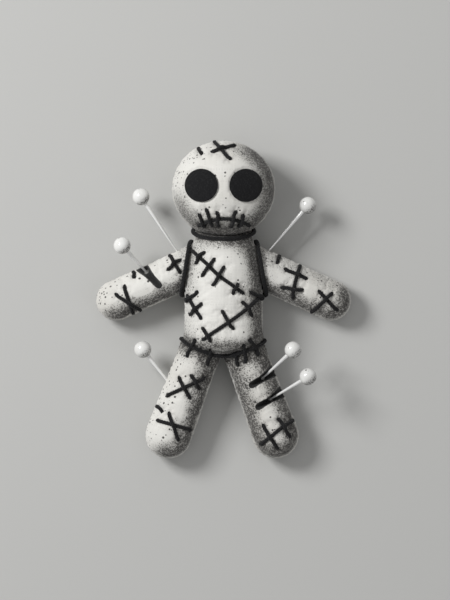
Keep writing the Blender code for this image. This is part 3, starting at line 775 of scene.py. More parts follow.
@dataclass(frozen=True)
class ClothFinish:
    """Off-white plain-woven cotton, flecked, with painted shade near its edges and joints.

    Threads, flecks and shade dots are how many of each come in a metre.
    """

    colour: tuple = (0.86, 0.85, 0.81, 1.0)
    shade: tuple = (0.70, 0.675, 0.62, 1.0)
    # The dark grey of the painted shade, also lent to a few dark threads
    painted_shade: tuple = (0.15, 0.143, 0.132, 1.0)
    fleck: tuple = (0.025, 0.022, 0.020, 1.0)
    # Painted shadow, near black, inside the tucks
    tuck_shadow: tuple = (0.008, 0.008, 0.008, 1.0)
    threads: float = 1500.0
    flecks: float = 650.0
    shade_dots: float = 1500.0
    sway: float = 1.6 * MM
    thread_relief: float = 0.16 * MM
    crease_relief: float = 0.5 * MM
    tuck_shadow_fade: tuple = (0.25 * MM, 0.50 * MM)
    roughness: float = 0.92
    sheen: float = 0.18

    def material(self) -> bpy.types.Material:
        """Build the material.

        Returns:
            The material.
        """
        material, graph, shader = new_material("doll_cotton")
        panel = graph.add("Attribute", {"attribute_name": "panel"}).outputs["Vector"]
        sway = graph.add("VectorMath", {"operation": "MULTIPLY_ADD"})
        drift = graph.add("TexNoise", None, Vector=panel, Scale=55.0).outputs["Color"]
        for socket, given in zip(sway.inputs, (drift, (self.sway, self.sway, 0.0), panel)):
            graph.feed(socket, given)
        swayed = sway.outputs[0]
        weave = place_group(graph, GROUPS.weave, Vector=swayed, Threads=self.threads)
        colour = self.shaded_and_flecked(graph, self.woven(graph, weave), panel)
        graph.feed(shader.inputs["Base Color"], self.shadowed_in_tucks(graph, colour))
        graph.feed(shader.inputs["Roughness"], self.roughness)
        graph.feed(shader.inputs["Sheen Weight"], self.sheen)
        graph.feed(shader.inputs["Sheen Roughness"], 0.5)
        creases = graph.bump(graph.noise(swayed, 420.0, 4.0), self.crease_relief, 0.35)
        graph.feed(shader.inputs["Normal"],
                   graph.bump(weave["Height"], self.thread_relief, 0.7, creases))
        return material

    def woven(self, graph: Graph, weave: bpy.types.NodeOutputs) -> bpy.types.NodeSocket:
        """Colour the clean cloth: cloudy, with painted shade between its threads and with a few
        dark ones.

        Args:
            graph: The material's graph.
            weave: What the weave gives.

        Returns:
            The colour.
        """
        place = graph.add("TexCoord").outputs["Object"]
        cloud = graph.ramp(graph.noise(place, 45.0, 4.0), 0.42, 0.72, 0.0, 0.45)
        colour = graph.mix(cloud, self.colour, self.shade)
        # Painted shade in the hollows between the threads
        thread_gap_shade = graph.math("MULTIPLY", graph.math("SUBTRACT", 1.0, weave["Height"]), 0.30)
        colour = graph.mix(thread_gap_shade, colour, self.shade)
        # A few threads darken to the painted shade's grey by chance; this is thread tone, not shade
        slub = graph.math("MULTIPLY", graph.ramp(weave["Tone"], 0.80, 1.0), 0.10)
        return graph.mix(slub, colour, self.painted_shade)

    def shaded_and_flecked(self, graph: Graph, colour: Given, panel: Given) -> bpy.types.NodeSocket:
        """Paint shade on the cloth, smudged and stippled as its edge attribute asks, and fleck it.

        Args:
            graph: The material's graph.
            colour: The clean cloth's colour.
            panel: The place on the cloth.

        Returns:
            The colour.
        """
        edge = graph.add("Attribute", {"attribute_name": "edge"}).outputs["Fac"]
        fleck = graph.add("Attribute", {"attribute_name": "fleck"}).outputs["Fac"]
        place = graph.add("TexCoord").outputs["Object"]
        cloud = graph.ramp(graph.noise(place, 130.0, 5.0), 0.25, 0.65, 0.70, 1.0)
        # Painted shade: the edge attribute darkens the cloth inside its lower right edges, beside
        # its joints and across the torso's foot
        shade_smudge = graph.math("MULTIPLY", graph.math("MULTIPLY", edge, cloud), 0.86)
        colour = graph.mix(shade_smudge, colour, self.painted_shade)
        patches = graph.ramp(graph.noise(place, 38.0, 2.0), 0.42, 0.62, 0.015, 0.14)
        sparse = place_group(graph, GROUPS.specks, Vector=graph.scaled(panel, self.flecks),
                             Density=graph.math("MULTIPLY_ADD", fleck, 0.34, patches), Size=0.47)
        # Painted shade as stipple: dots that grow with the edge attribute
        shade_stipple = place_group(graph, GROUPS.specks, Vector=graph.scaled(panel, self.shade_dots),
                              Density=graph.ramp(edge, 0.02, 0.25),
                              Size=graph.math("MULTIPLY_ADD", edge, 0.86, 0.28))
        shade_dots = graph.math("MULTIPLY", shade_stipple["Mask"], graph.math("MULTIPLY_ADD", edge, 0.45, 0.50))
        marks = graph.math("MAXIMUM", sparse["Mask"], shade_dots)
        # The fleck colour serves the real flecks and the painted shade dots alike
        return graph.mix(graph.math("MULTIPLY", marks, 0.92), colour, self.fleck)

    def shadowed_in_tucks(self, graph: Graph, colour: Given) -> bpy.types.NodeSocket:
        """Paint shadow near black inside the tucks.

        Args:
            graph: The material's graph.
            colour: The cloth's colour elsewhere.

        Returns:
            The colour.
        """
        tuck = graph.add("Attribute", {"attribute_name": "tuck"}).outputs["Fac"]
        # Painted shadow: near black inside each tuck's groove
        inside = graph.ramp(tuck, *self.tuck_shadow_fade, 1.0, 0.0)
        return graph.mix(inside, colour, self.tuck_shadow)


@dataclass(frozen=True)
class FibreFinish:
    """A black fibrous finish, for the felt and the yarn."""

    name: str
    colour: tuple
    worn: tuple
    fineness: float
    relief: float
    sheen: float
    roughness: float = 0.9
    gloss: float = 0.25

    def material(self) -> bpy.types.Material:
        """Build the material.

        Returns:
            The material.
        """
        material, graph, shader = new_material(self.name)
        place = graph.add("TexCoord").outputs["Object"]
        fibres = place_group(graph, GROUPS.fibres, Vector=place, Fineness=self.fineness)
        colour = graph.mix(graph.ramp(fibres["Tone"], 0.22, 0.42), self.colour, self.worn)
        graph.feed(shader.inputs["Base Color"], colour)
        graph.feed(shader.inputs["Roughness"], self.roughness)
        graph.feed(shader.inputs["Sheen Weight"], self.sheen)
        graph.feed(shader.inputs["Sheen Roughness"], 0.45)
        graph.feed(shader.inputs["Specular IOR Level"], self.gloss)
        graph.feed(shader.inputs["Normal"], graph.bump(fibres["Height"], self.relief, 0.8))
        return material


FELT = FibreFinish("eye_felt", (0.007, 0.007, 0.008, 1.0), (0.020, 0.020, 0.021, 1.0), 2600.0,
                   0.25 * MM, 0.12)
YARN = FibreFinish("scar_yarn", (0.008, 0.008, 0.009, 1.0), (0.030, 0.029, 0.029, 1.0), 5200.0,
                   0.14 * MM, 0.15)


@dataclass(frozen=True)
class BallFinish:
    """White moulded plastic of the pins' heads, flecked, with painted shade on its lower right and
    fine handling scratches.

    Flecks and shade dots are how many of each come in a metre.
    """

    colour: tuple = (0.88, 0.88, 0.86, 1.0)
    shade: tuple = (0.80, 0.795, 0.775, 1.0)
    # The grey of the painted shade
    painted_shade: tuple = (0.20, 0.195, 0.185, 1.0)
    fleck: tuple = (0.06, 0.058, 0.055, 1.0)
    flecks: float = 850.0
    shade_dots: float = 1750.0
    roughness: tuple = (0.10, 0.24)
    coat: float = 0.5
    coat_roughness: float = 0.08
    relief: float = 0.04 * MM

    def material(self) -> bpy.types.Material:
        """Build the material.

        Returns:
            The material.
        """
        material, graph, shader = new_material("pin_bead")
        place = graph.add("TexCoord").outputs["Object"]
        edge = graph.add("Attribute", {"attribute_name": "edge"}).outputs["Fac"]
        fleck = graph.add("Attribute", {"attribute_name": "fleck"}).outputs["Fac"]
        cloud = graph.ramp(graph.noise(place, 260.0, 3.0), 0.35, 0.75)
        colour = graph.mix(cloud, self.colour, self.shade)
        # Painted shade: greyer and stippled towards the lower right, by the edge attribute
        colour = graph.mix(graph.math("MULTIPLY", edge, 0.55), colour, self.painted_shade)
        shade_stipple = place_group(graph, GROUPS.specks, Vector=graph.scaled(place, self.shade_dots),
                              Density=graph.ramp(edge, 0.02, 0.30),
                              Size=graph.math("MULTIPLY_ADD", edge, 0.70, 0.25))
        sparse = place_group(graph, GROUPS.specks, Vector=graph.scaled(place, self.flecks),
                             Density=graph.math("MULTIPLY", fleck, 0.40), Size=0.45)
        shade_dots = graph.math("MULTIPLY", shade_stipple["Mask"], graph.math("MULTIPLY", edge, 1.1))
        marks = graph.math("MAXIMUM", sparse["Mask"], shade_dots)
        graph.feed(shader.inputs["Base Color"], graph.mix(marks, colour, self.fleck))
        rub = graph.noise(graph.scaled(place, (1.0, 3.5, 1.0)), 1500.0, 4.0)
        graph.feed(shader.inputs["Roughness"], graph.ramp(rub, 0.35, 0.8, *self.roughness))
        graph.feed(shader.inputs["Coat Weight"], self.coat)
        graph.feed(shader.inputs["Coat Roughness"], self.coat_roughness)
        unevenness = graph.bump(graph.noise(place, 700.0, 2.0), self.relief, 0.25)
        graph.feed(shader.inputs["Normal"], unevenness)
        return material


@dataclass(frozen=True)
class SteelFinish:
    """Pale satin plated steel wire, with faint drawing marks."""

    colour: tuple = (0.96, 0.96, 0.95, 1.0)
    dull: tuple = (0.88, 0.875, 0.86, 1.0)
    roughness: tuple = (0.30, 0.46)
    metallic: float = 0.25

    def material(self) -> bpy.types.Material:
        """Build the material.

        Returns:
            The material.
        """
        material, graph, shader = new_material("pin_wire")
        place = graph.add("TexCoord").outputs["Object"]
        marks = graph.noise(place, 900.0, 4.0)
        worn = graph.ramp(marks, 0.55, 0.8, 0.0, 0.6)
        graph.feed(shader.inputs["Base Color"], graph.mix(worn, self.colour, self.dull))
        graph.feed(shader.inputs["Roughness"], graph.ramp(marks, 0.3, 0.8, *self.roughness))
        graph.feed(shader.inputs["Metallic"], self.metallic)
        return material


@dataclass
class BallPin:
    """A pin with a ball head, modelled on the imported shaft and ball.

    A pin that pulls a tuck has its entry and the tuck's inner end, in shares of the limb's
    plan. The lean turns the shown wire about its ball, in degrees.
    """

    name: str
    limb: str
    entry: tuple = ()
    tuck_end: tuple = ()
    lean: float = 0.0
    sides: int = 24
    mouth_radius: float = 0.5 * MM
    mouth_depth: float = 0.5 * MM
    mouth_rims: tuple = (0.12 * MM, 0.08 * MM)
    shaded_way: tuple = (0.62, -0.78)
    flecked_spot: tuple = (-0.45, 0.45)
    fleck_reach: float = 0.42

    def __post_init__(self) -> None:
        """Read the pin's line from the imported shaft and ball."""
        low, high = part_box(self.name + "_ball")
        middle = (low + high) / 2
        shaft = coordinates(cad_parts[self.name + "_shaft"])
        away = np.linalg.norm(shaft - np.array(middle), axis=1)
        thin = away > (away.min() + away.max()) / 2
        self.thick_end = Vector(np.unique(shaft[~thin].round(7), axis=0).mean(axis=0))
        self.point = Vector(np.unique(shaft[thin].round(7), axis=0).mean(axis=0))
        self.direction = (self.point - self.thick_end).normalized()
        self.ball = self.point - self.direction * PIN_LENGTH
        lean = Quaternion(UP, math.radians(self.lean))
        self.wire_way = lean @ self.direction
        self.wire_start = self.ball + lean @ (self.thick_end - self.ball)
        self.turn = self.wire_way.to_track_quat("Z", "Y").to_euler()

    def build_shaft(self, material: bpy.types.Material) -> bpy.types.Object:
        """Model the tapered wire, with a rounded point.

        Args:
            material: The steel.

        Returns:
            The wire.
        """
        length = (self.point - self.thick_end).length
        middle = self.wire_start + self.wire_way * length / 2
        deselect_all()
        bpy.ops.mesh.primitive_cone_add(
            vertices=self.sides, radius1=SHAFT_RADIUS, radius2=POINT_RADIUS, depth=length,
            location=middle, rotation=self.turn)
        shaft = just_added(self.name + "_wire")
        bpy.ops.object.mode_set(mode="EDIT")
        work = bmesh.from_edit_mesh(shaft.data)
        for face in work.faces:
            at_point = len(face.verts) > 4 and face.calc_center_median().z > 0
            face.select_set(at_point)
        work.select_flush_mode()
        bmesh.update_edit_mesh(shaft.data)
        bpy.ops.mesh.bevel(offset=POINT_RADIUS * 0.6, segments=2, affect="EDGES")
        bpy.ops.object.mode_set(mode="OBJECT")
        apply_place(shaft)
        shaft.data.materials.append(material)
        pick(shaft)
        bpy.ops.object.shade_smooth_by_angle(angle=math.radians(40))
        return dress(shaft, Slot.STEEL, self.name + "_shaft")

    def build_ball(self, material: bpy.types.Material) -> bpy.types.Object:
        """Model the ball with the rimmed hole that the wire sits in.

        Args:
            material: The balls' plastic.

        Returns:
            The ball.
        """
        deselect_all()
        bpy.ops.mesh.primitive_uv_sphere_add(segments=40, ring_count=28, radius=BALL_RADIUS,
                                             location=self.ball, rotation=self.turn)
        ball = just_added(self.name + "_bead")
        bpy.ops.object.mode_set(mode="EDIT")
        # Deselecting a face lets go of the corners it shares, so none is after one is picked
        bpy.ops.mesh.select_all(action="DESELECT")
        work = bmesh.from_edit_mesh(ball.data)
        for face in work.faces:
            middle = face.calc_center_median()
            if middle.z > 0 and middle.xy.length < self.mouth_radius:
                face.select_set(True)
        work.select_flush_mode()
        bmesh.update_edit_mesh(ball.data)
        bpy.ops.mesh.inset(thickness=self.mouth_rims[0], use_boundary=True)
        bpy.ops.transform.translate(value=-self.wire_way * self.mouth_depth)
        bpy.ops.mesh.inset(thickness=self.mouth_rims[1], use_boundary=True)
        bpy.ops.object.mode_set(mode="OBJECT")
        apply_place(ball)
        out = (coordinates(ball) - np.array(self.ball)) / BALL_RADIUS
        # edge: painted shade on the ball's lower right, away from the key lamp
        store(ball, "edge", eased(out[:, :2] @ np.array(self.shaded_way), -0.05, 0.75) * 0.85)
        off = np.linalg.norm(out[:, :2] - np.array(self.flecked_spot), axis=1)
        store(ball, "fleck", bell(off, self.fleck_reach) * (out[:, 2] > 0))
        ball.data.materials.append(material)
        pick(ball)
        bpy.ops.object.shade_smooth()
        return dress(ball, Slot.BALL, self.name + "_ball")


def dress(obj: bpy.types.Object, slot: Slot, *nodes: str) -> bpy.types.Object:
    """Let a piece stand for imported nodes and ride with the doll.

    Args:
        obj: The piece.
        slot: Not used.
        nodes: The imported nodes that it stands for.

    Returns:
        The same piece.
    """
    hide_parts(*nodes)
    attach(obj, "root")
    LOG.info("%s: %d faces", obj.name, len(obj.data.polygons))
    return obj


@dataclass(frozen=True)
class Scar:
    """One length of yarn and the short stitches that cross it, in a part's plan."""

    node: str
    part: str
    line: tuple
    crosses: tuple = ()


def bow(middle: tuple, half_span: float, drop: float) -> tuple:
    """Lay out a bow that falls away on both sides of its middle.

    Args:
        middle: The middle, in shares of a plan.
        half_span: Half its width.
        drop: How far its ends lie below its middle.

    Returns:
        Five points of it.
    """
    return tuple((middle[0] + half_span * share, middle[1] - drop * share * share)
                 for share in (-1, -0.5, 0, 0.5, 1))


SCARS = (
    Scar("mouth_stitching", "head", bow((0.01, -0.61), 0.51, 0.15), (
        ((-0.47, -0.52), (-0.35, -0.77)),
        ((-0.34, -0.41), (-0.21, -0.78)),
        ((-0.12, -0.47), (-0.10, -0.80)),
        ((0.23, -0.45), (0.14, -0.80)),
        ((0.38, -0.53), (0.28, -0.79)),
    )),
    Scar("forehead_cross", "head", ((-0.19, 0.98), (0.13, 0.59)),
         (((-0.24, 0.75), (0.23, 0.89)),)),
    Scar("forehead_stitch", "head", ((-0.49, 0.86), (-0.42, 0.69))),
    Scar("chest_scar", "torso", ((-0.83, 0.10), (-0.37, 0.24), (-0.10, 0.33), (0.50, 0.475)), (
        ((-0.48, 0.12), (-0.71, 0.23)),
        ((-0.23, 0.18), (-0.54, 0.33)),
        ((0.02, 0.25), (-0.27, 0.41)),
        ((0.38, 0.39), (0.20, 0.48)),
    )),
    Scar("side_scar", "torso", ((-0.93, 0.49), (-0.86, 0.51), (-0.70, 0.61), (-0.55, 0.69)), (
        ((-0.63, 0.46), (-0.95, 0.55)),
        ((-0.53, 0.56), (-0.85, 0.66)),
    )),
    Scar("belly_scar", "torso", ((-0.55, 0.87), (0.12, 0.72), (0.56, 0.61), (0.93, 0.50)), (
        ((-0.53, 0.76), (-0.32, 0.88)),
        ((-0.04, 0.62), (0.23, 0.78)),
        ((0.47, 0.54), (0.71, 0.67)),
        ((0.65, 0.46), (0.93, 0.525)),
    )),
    Scar("shoulder_cross_left", "arm_left", ((1.05, 0.43), (-0.09, 0.41)),
         (((0.30, 0.50), (0.50, 0.355)),)),
    Scar("forearm_stitch_left", "arm_left", ((1.01, 0.76), (0.60, 0.78))),
    Scar("hand_cross_left", "arm_left", ((0.51, 0.89), (-0.95, 0.92)),
         (((0.29, 0.99), (-0.99, 0.84)),)),
    Scar("shoulder_stitch_right", "arm_right", ((1.05, 0.45), (0.53, 0.45))),
    Scar("arm_scar_right", "arm_right",
         ((1.08, 0.64), (0.49, 0.65), (-0.18, 0.67), (-0.70, 0.70)), (
             ((0.46, 0.53), (0.45, 0.74)),
             ((-0.39, 0.57), (-0.11, 0.75)),
         )),
    Scar("hand_cross_right", "arm_right", ((0.17, 0.87), (-0.34, 1.09)),
         (((0.35, 0.99), (-0.95, 0.89)),)),
    Scar("thigh_scar_left", "leg_left",
         ((0.67, 0.61), (0.06, 0.44), (-0.28, 0.35), (-0.59, 0.26)), (
             ((0.46, 0.36), (-0.31, 0.54)),
             ((0.01, 0.29), (-0.54, 0.41)),
         )),
    Scar("shin_stitch_left", "leg_left", ((1.05, 0.73), (0.56, 0.78))),
    Scar("foot_cross_left", "leg_left", ((0.69, 0.89), (-0.84, 0.86)),
         (((0.35, 0.76), (-0.46, 1.02)),)),
    Scar("foot_scar_right", "leg_right",
         ((-0.76, 1.04), (-0.25, 1.00), (0.44, 0.94), (0.98, 0.91)), (
             ((-0.35, 0.84), (-0.13, 1.15)),
             ((0.34, 0.83), (0.52, 1.08)),
         )),
)

WAIST_CROSSES = (
    ((-0.69, 0.86), (-0.93, 1.01)),
    ((-0.33, 0.94), (-0.41, 1.08)),
    ((0.33, 0.97), (0.36, 1.09)),
    ((0.51, 0.90), (0.55, 1.06)),
    ((0.64, 0.86), (0.89, 1.00)),
)


def smooth_curve(points: list[Vector], step: float, closed: bool = False) -> list[Vector]:
    """Walk a smooth curve through points in even steps.

    Args:
        points: What the curve runs through.
        step: The length of a step.
        closed: Whether the curve runs on to its first point.

    Returns:
        The points of the walk, the last one at the curve's end, or before its start if closed.
    """
    count = len(points)
    dense = []
    for index in range(count if closed else count - 1):
        if closed:
            near = [points[(index + shift) % count] for shift in (-1, 0, 1, 2)]
        else:
            near = [points[min(max(index + shift, 0), count - 1)] for shift in (-1, 0, 1, 2)]
        before, here, after, beyond = near
        for part in range(CURVE_SHARES):
            share = part / CURVE_SHARES
            dense.append(0.5 * (2 * here + (after - before) * share
                                + (2 * before - 5 * here + 4 * after - beyond) * share ** 2
                                + (3 * here - before - 3 * after + beyond) * share ** 3))
    dense.append(points[0] if closed else points[-1])
    rows = np.array(dense)
    run = np.concatenate(([0.0], np.cumsum(np.linalg.norm(np.diff(rows, axis=0), axis=1))))
    pieces = max(3, round(run[-1] / step))
    places = np.linspace(0, run[-1], pieces + 1)
    walked = np.stack([np.interp(places, run, rows[:, axis]) for axis in range(3)], axis=1)
    found = [Vector(row) for row in walked]
    return found[:-1] if closed else found


def calmed(rows: np.ndarray, reach: int, closed: bool) -> np.ndarray:
    """Even out rows of places by their running mean.

    Args:
        rows: The places.
        reach: How many rows on both sides count, fewer at open ends.
        closed: Whether the last row is followed by the first.

    Returns:
        The evened rows.
    """
    count = len(rows)
    made = np.empty_like(rows)
    for index in range(count):
        near = reach if closed else min(reach, index, count - 1 - index)
        picked = [(index + shift) % count for shift in range(-near, near + 1)]
        made[index] = rows[picked].mean(axis=0)
    return made


@dataclass
class YarnLine:
    """The centre line of one yarn, with the way that the cloth under it faces."""

    centre: np.ndarray
    facing: np.ndarray
    closed: bool = False


@dataclass
class Yarn:
    """Black yarn of three strands, laid on the cloth.

    The sink is the share of the radius that the yarn's middle stands above the cloth. Where
    the cloth faces the front by less than least_facing, no yarn is laid. The reaches say
    over how many steps on both sides a line is evened out.
    """

    radius: float = YARN_RADIUS
    strand_radius: float = 0.50 * MM
    strand_offset: float = 0.45 * MM
    pitch: float = 4.2 * MM
    step: float = 0.33 * MM
    sink: float = 0.72
    bend: float = 0.8 * MM
    shorten: float = 1.0 * MM
    least_facing: float = 0.12
    place_reach: int = 5
    facing_reach: int = 8
    ring_reach: int = 4
    cross_lift: float = 1.45 * MM
    cross_reach: float = 1.35 * MM
    dive_angles: tuple = (0.35, 0.75, 1.15, 1.5)
    dive_depths: tuple = (0.5 * MM, 1.1 * MM)

    def drop(self, route: list[Vector], trees: list[BVHTree]) -> tuple[np.ndarray, np.ndarray]:
        """Drop plan points on the cloth, and keep those where it faces the front.

        Args:
            route: The points.
            trees: The cloth.

        Returns:
            The places on the cloth and the ways that it faces there.
        """
        places, facings = [], []
        for point in route:
            best = None
            for tree in trees:
                hit, normal, _, _ = tree.ray_cast(Vector((point.x, point.y, SKY)), -UP)
                if hit is not None and (best is None or hit.z > best[0].z):
                    best = (hit, normal)
            if best is not None and best[1].z > self.least_facing:
                places.append(best[0])
                facings.append(best[1])
        return np.array(places), np.array(facings)

    def lay(self, plan: Plan, points: tuple, trees: list[BVHTree],
            below: KDTree | None = None) -> YarnLine:
        """Lay one yarn on the cloth along points of a plan, over a yarn below it.

        Args:
            plan: The grid of the stuffed part.
            points: Shares of the grid.
            trees: The cloth to lie on.
            below: The centre lines of yarns that it crosses, flattened into the plan.

        Returns:
            The yarn's line, whose ends turn down into the cloth.
        """
        route = smooth_curve([plan.at(*point) for point in points], self.step)
        places, facings = self.drop(route, trees)
        cut = round(self.shorten / self.step)
        places, facings = places[cut:-cut], facings[cut:-cut]
        places = calmed(places, self.place_reach, False)
        facings = calmed(facings, self.facing_reach, False)
        facings /= np.linalg.norm(facings, axis=1)[:, None]
        centre = places + facings * self.radius * self.sink
        if below is not None:
            gaps = np.array([below.find(Vector((x, y, 0)))[2] for x, y, _ in centre])
            centre = centre + facings * (bell(gaps, self.cross_reach) * self.cross_lift)[:, None]
        return self.dive(YarnLine(centre, facings))

    def dive(self, line: YarnLine) -> YarnLine:
        """Turn both ends of a yarn down into the cloth.

        Args:
            line: The yarn's line.

        Returns:
            The longer line.
        """
        for _ in range(2):
            centre, facing = line.centre[::-1], line.facing[::-1]
            outward = Vector(centre[-1] - centre[-3]).normalized()
            down = -Vector(facing[-1])
            tips, faces = [], []
            for angle in self.dive_angles:
                tips.append(Vector(centre[-1]) + outward * self.bend * math.sin(angle)
                            + down * self.bend * (1 - math.cos(angle)))
                faces.append(outward * math.sin(angle) - down * math.cos(angle))
            turned = tips[-1]
            for depth in self.dive_depths:
                tips.append(turned + down * depth)
                faces.append(outward)
            line = YarnLine(np.vstack((centre, tips)), np.vstack((facing, faces)))
        return line

    def spin(self, name: str, lines: list[YarnLine],
             material: bpy.types.Material) -> bpy.types.Object:
        """Twist three strands along each line, and make them one mesh.

        Args:
            name: The piece's name.
            lines: The lines of the yarns in it.
            material: The yarn's finish.

        Returns:
            The piece.
        """
        curve = bpy.data.curves.new(name, "CURVE")
        curve.dimensions = "3D"
        curve.bevel_depth = self.strand_radius
        curve.bevel_resolution = 2
        curve.use_fill_caps = True
        for line in lines:
            for strand in range(3):
                points = self.strand(line, strand * math.tau / 3)
                spline = curve.splines.new("POLY")
                spline.points.add(len(points) - 1)
                flat = np.hstack((points, np.ones((len(points), 1))))
                spline.points.foreach_set("co", flat.ravel())
                spline.use_cyclic_u = line.closed
        obj = bpy.data.objects.new(name, curve)
        bpy.context.scene.collection.objects.link(obj)
        pick(obj)
        bpy.ops.object.convert(target="MESH")
        obj = bpy.context.active_object
        obj.data.materials.clear()
        obj.data.materials.append(material)
        bpy.ops.object.shade_smooth()
        return obj

    def strand(self, line: YarnLine, start: float) -> np.ndarray:
        """Wind one strand round a yarn's line.

        Args:
            line: The yarn's line.
            start: The angle at which the strand starts.

        Returns:
            The strand's centre line, in rows.
        """
        centre = line.centre
        if line.closed:
            ahead = np.roll(centre, -1, axis=0) - np.roll(centre, 1, axis=0)
            steps = np.linalg.norm(np.roll(centre, -1, axis=0) - centre, axis=1)
            run = np.concatenate(([0.0], np.cumsum(steps)))
            turns = max(1, round(run[-1] / self.pitch))
            angle = start + math.tau * turns * run[:-1] / run[-1]
        else:
            ahead = np.gradient(centre, axis=0)
            steps = np.linalg.norm(np.diff(centre, axis=0), axis=1)
            angle = start + math.tau * np.concatenate(([0.0], np.cumsum(steps))) / self.pitch
        ahead /= np.linalg.norm(ahead, axis=1)[:, None]
        facing = line.facing - ahead * (line.facing * ahead).sum(axis=1)[:, None]
        facing /= np.linalg.norm(facing, axis=1)[:, None]
        side = np.cross(ahead, facing)
        return centre + self.strand_offset * (
            np.cos(angle)[:, None] * facing + np.sin(angle)[:, None] * side)


@dataclass
class Crease:
    """The groove where two stuffed parts are sewn together, found for a yarn in it."""

    upper: BVHTree
    lower: BVHTree
    foot: Vector
    axis: Vector
    reach: float
    span: tuple
    clear_upper: float
    clear_lower: float
    bow: float = 0.0

    def touch(self, outward: Vector, slide: float) -> tuple[Vector, float]:
        """Move a yarn in towards the axis until it touches a part.

        Args:
            outward: The way out from the axis.
            slide: The place along the axis.

        Returns:
            Where it touches, and which part it leans on: below zero for the upper.
        """
        radius = self.reach
        spot, to_upper, to_lower = self.foot, 0.0, 0.0
        while radius > 0:
            spot = self.foot + self.axis * slide + outward * radius
            nearest, normal, _, distance = self.upper.find_nearest(spot)
            inside = (spot - nearest).dot(normal) < 0
            to_upper = (-distance if inside else distance) - self.clear_upper
            to_lower = self.lower.find_nearest(spot)[3] - self.clear_lower
            if min(to_upper, to_lower) < TOUCH_DISTANCE:
                break
            radius -= min(to_upper, to_lower)
        return spot, to_upper - to_lower

    def line(self, count: int = 40) -> list[Vector]:
        """Find the closed line on which a yarn touches both parts.

        Args:
            count: How many points of it to find.

        Returns:
            The points.
        """
        first = (UP - self.axis * self.axis.z).normalized()
        second = self.axis.cross(first)
        found = []
        for step in range(count):
            angle = math.tau * step / count
            outward = first * math.cos(angle) + second * math.sin(angle)
            low, high = self.span
            spot = self.foot
            for _ in range(SLIDE_HALVINGS):
                middle = (low + high) / 2
                spot, lean = self.touch(outward, middle)
                low, high = (middle, high) if lean < 0 else (low, middle)
            front = max(math.cos(angle), 0)
            if self.bow * front > 0:
                spot, normal, _, _ = self.lower.find_nearest(spot + self.axis * self.bow * front)
                spot = spot + normal * self.clear_lower
            found.append(spot)
        return found


@dataclass
class Pull:
    """A place where thread or a pin pulls the cloth in."""

    place: Vector
    depth: float
    width: float


@dataclass(frozen=True)
class Fit:
    """How the cloth is pressed in, and how near to what it is held."""

    yarn_width: float = 0.9 * MM
    yarn_depth: float = 0.35 * MM
    yarn_held: float = 0.7 * MM
    seam_width: float = 0.7 * MM
    seam_depth: float = 0.35 * MM
    seam_held: float = 0.5 * MM
    pull_held: float = 0.8 * MM
    joint_held: float = 1.0 * MM
    joint_gap: float = 0.3 * MM
    tuck_held: float = 0.5 * MM
    floor_held: float = 0.3 * MM
    rest_swell: float = 0.12 * MM


@dataclass(frozen=True)
class Gathers:
    """How deep the small folds of the cloth are, and how far they reach."""

    seam_pitch: float = 2.5 * MM
    seam_reach: float = 2.6 * MM
    seam_depth: float = 0.16 * MM
    joint_start: float = 1.5 * MM
    joint_reach: float = 3.4 * MM
    joint_depth: float = 0.24 * MM
    pull_near: float = 6.0 * MM
    pull_ring: float = 1.6 * MM
    pull_width: float = 1.5 * MM
    pull_depth: float = 0.13 * MM
    pull_waves: int = 5
    tuck_fade: tuple = (0.3 * MM, 1.6 * MM)
    wobble_scale: float = 260.0
    rough_scale: float = 95.0
    rough_depth: float = 0.10 * MM


@dataclass(frozen=True)
class ShadeAndFlecks:
    """How far in from a part's outline its painted shade and its flecks reach, and where they fade.
    """

    shade_band: tuple = (2.2 * MM, 11.0 * MM)
    shade_rim: tuple = (0.1 * MM, 1.5 * MM)
    fleck_band: tuple = (2.0 * MM, 10.0 * MM)
    joint_shade_width: float = 5.0 * MM
    hem_width: float = 3.4 * MM
    hem_strength: float = 0.85


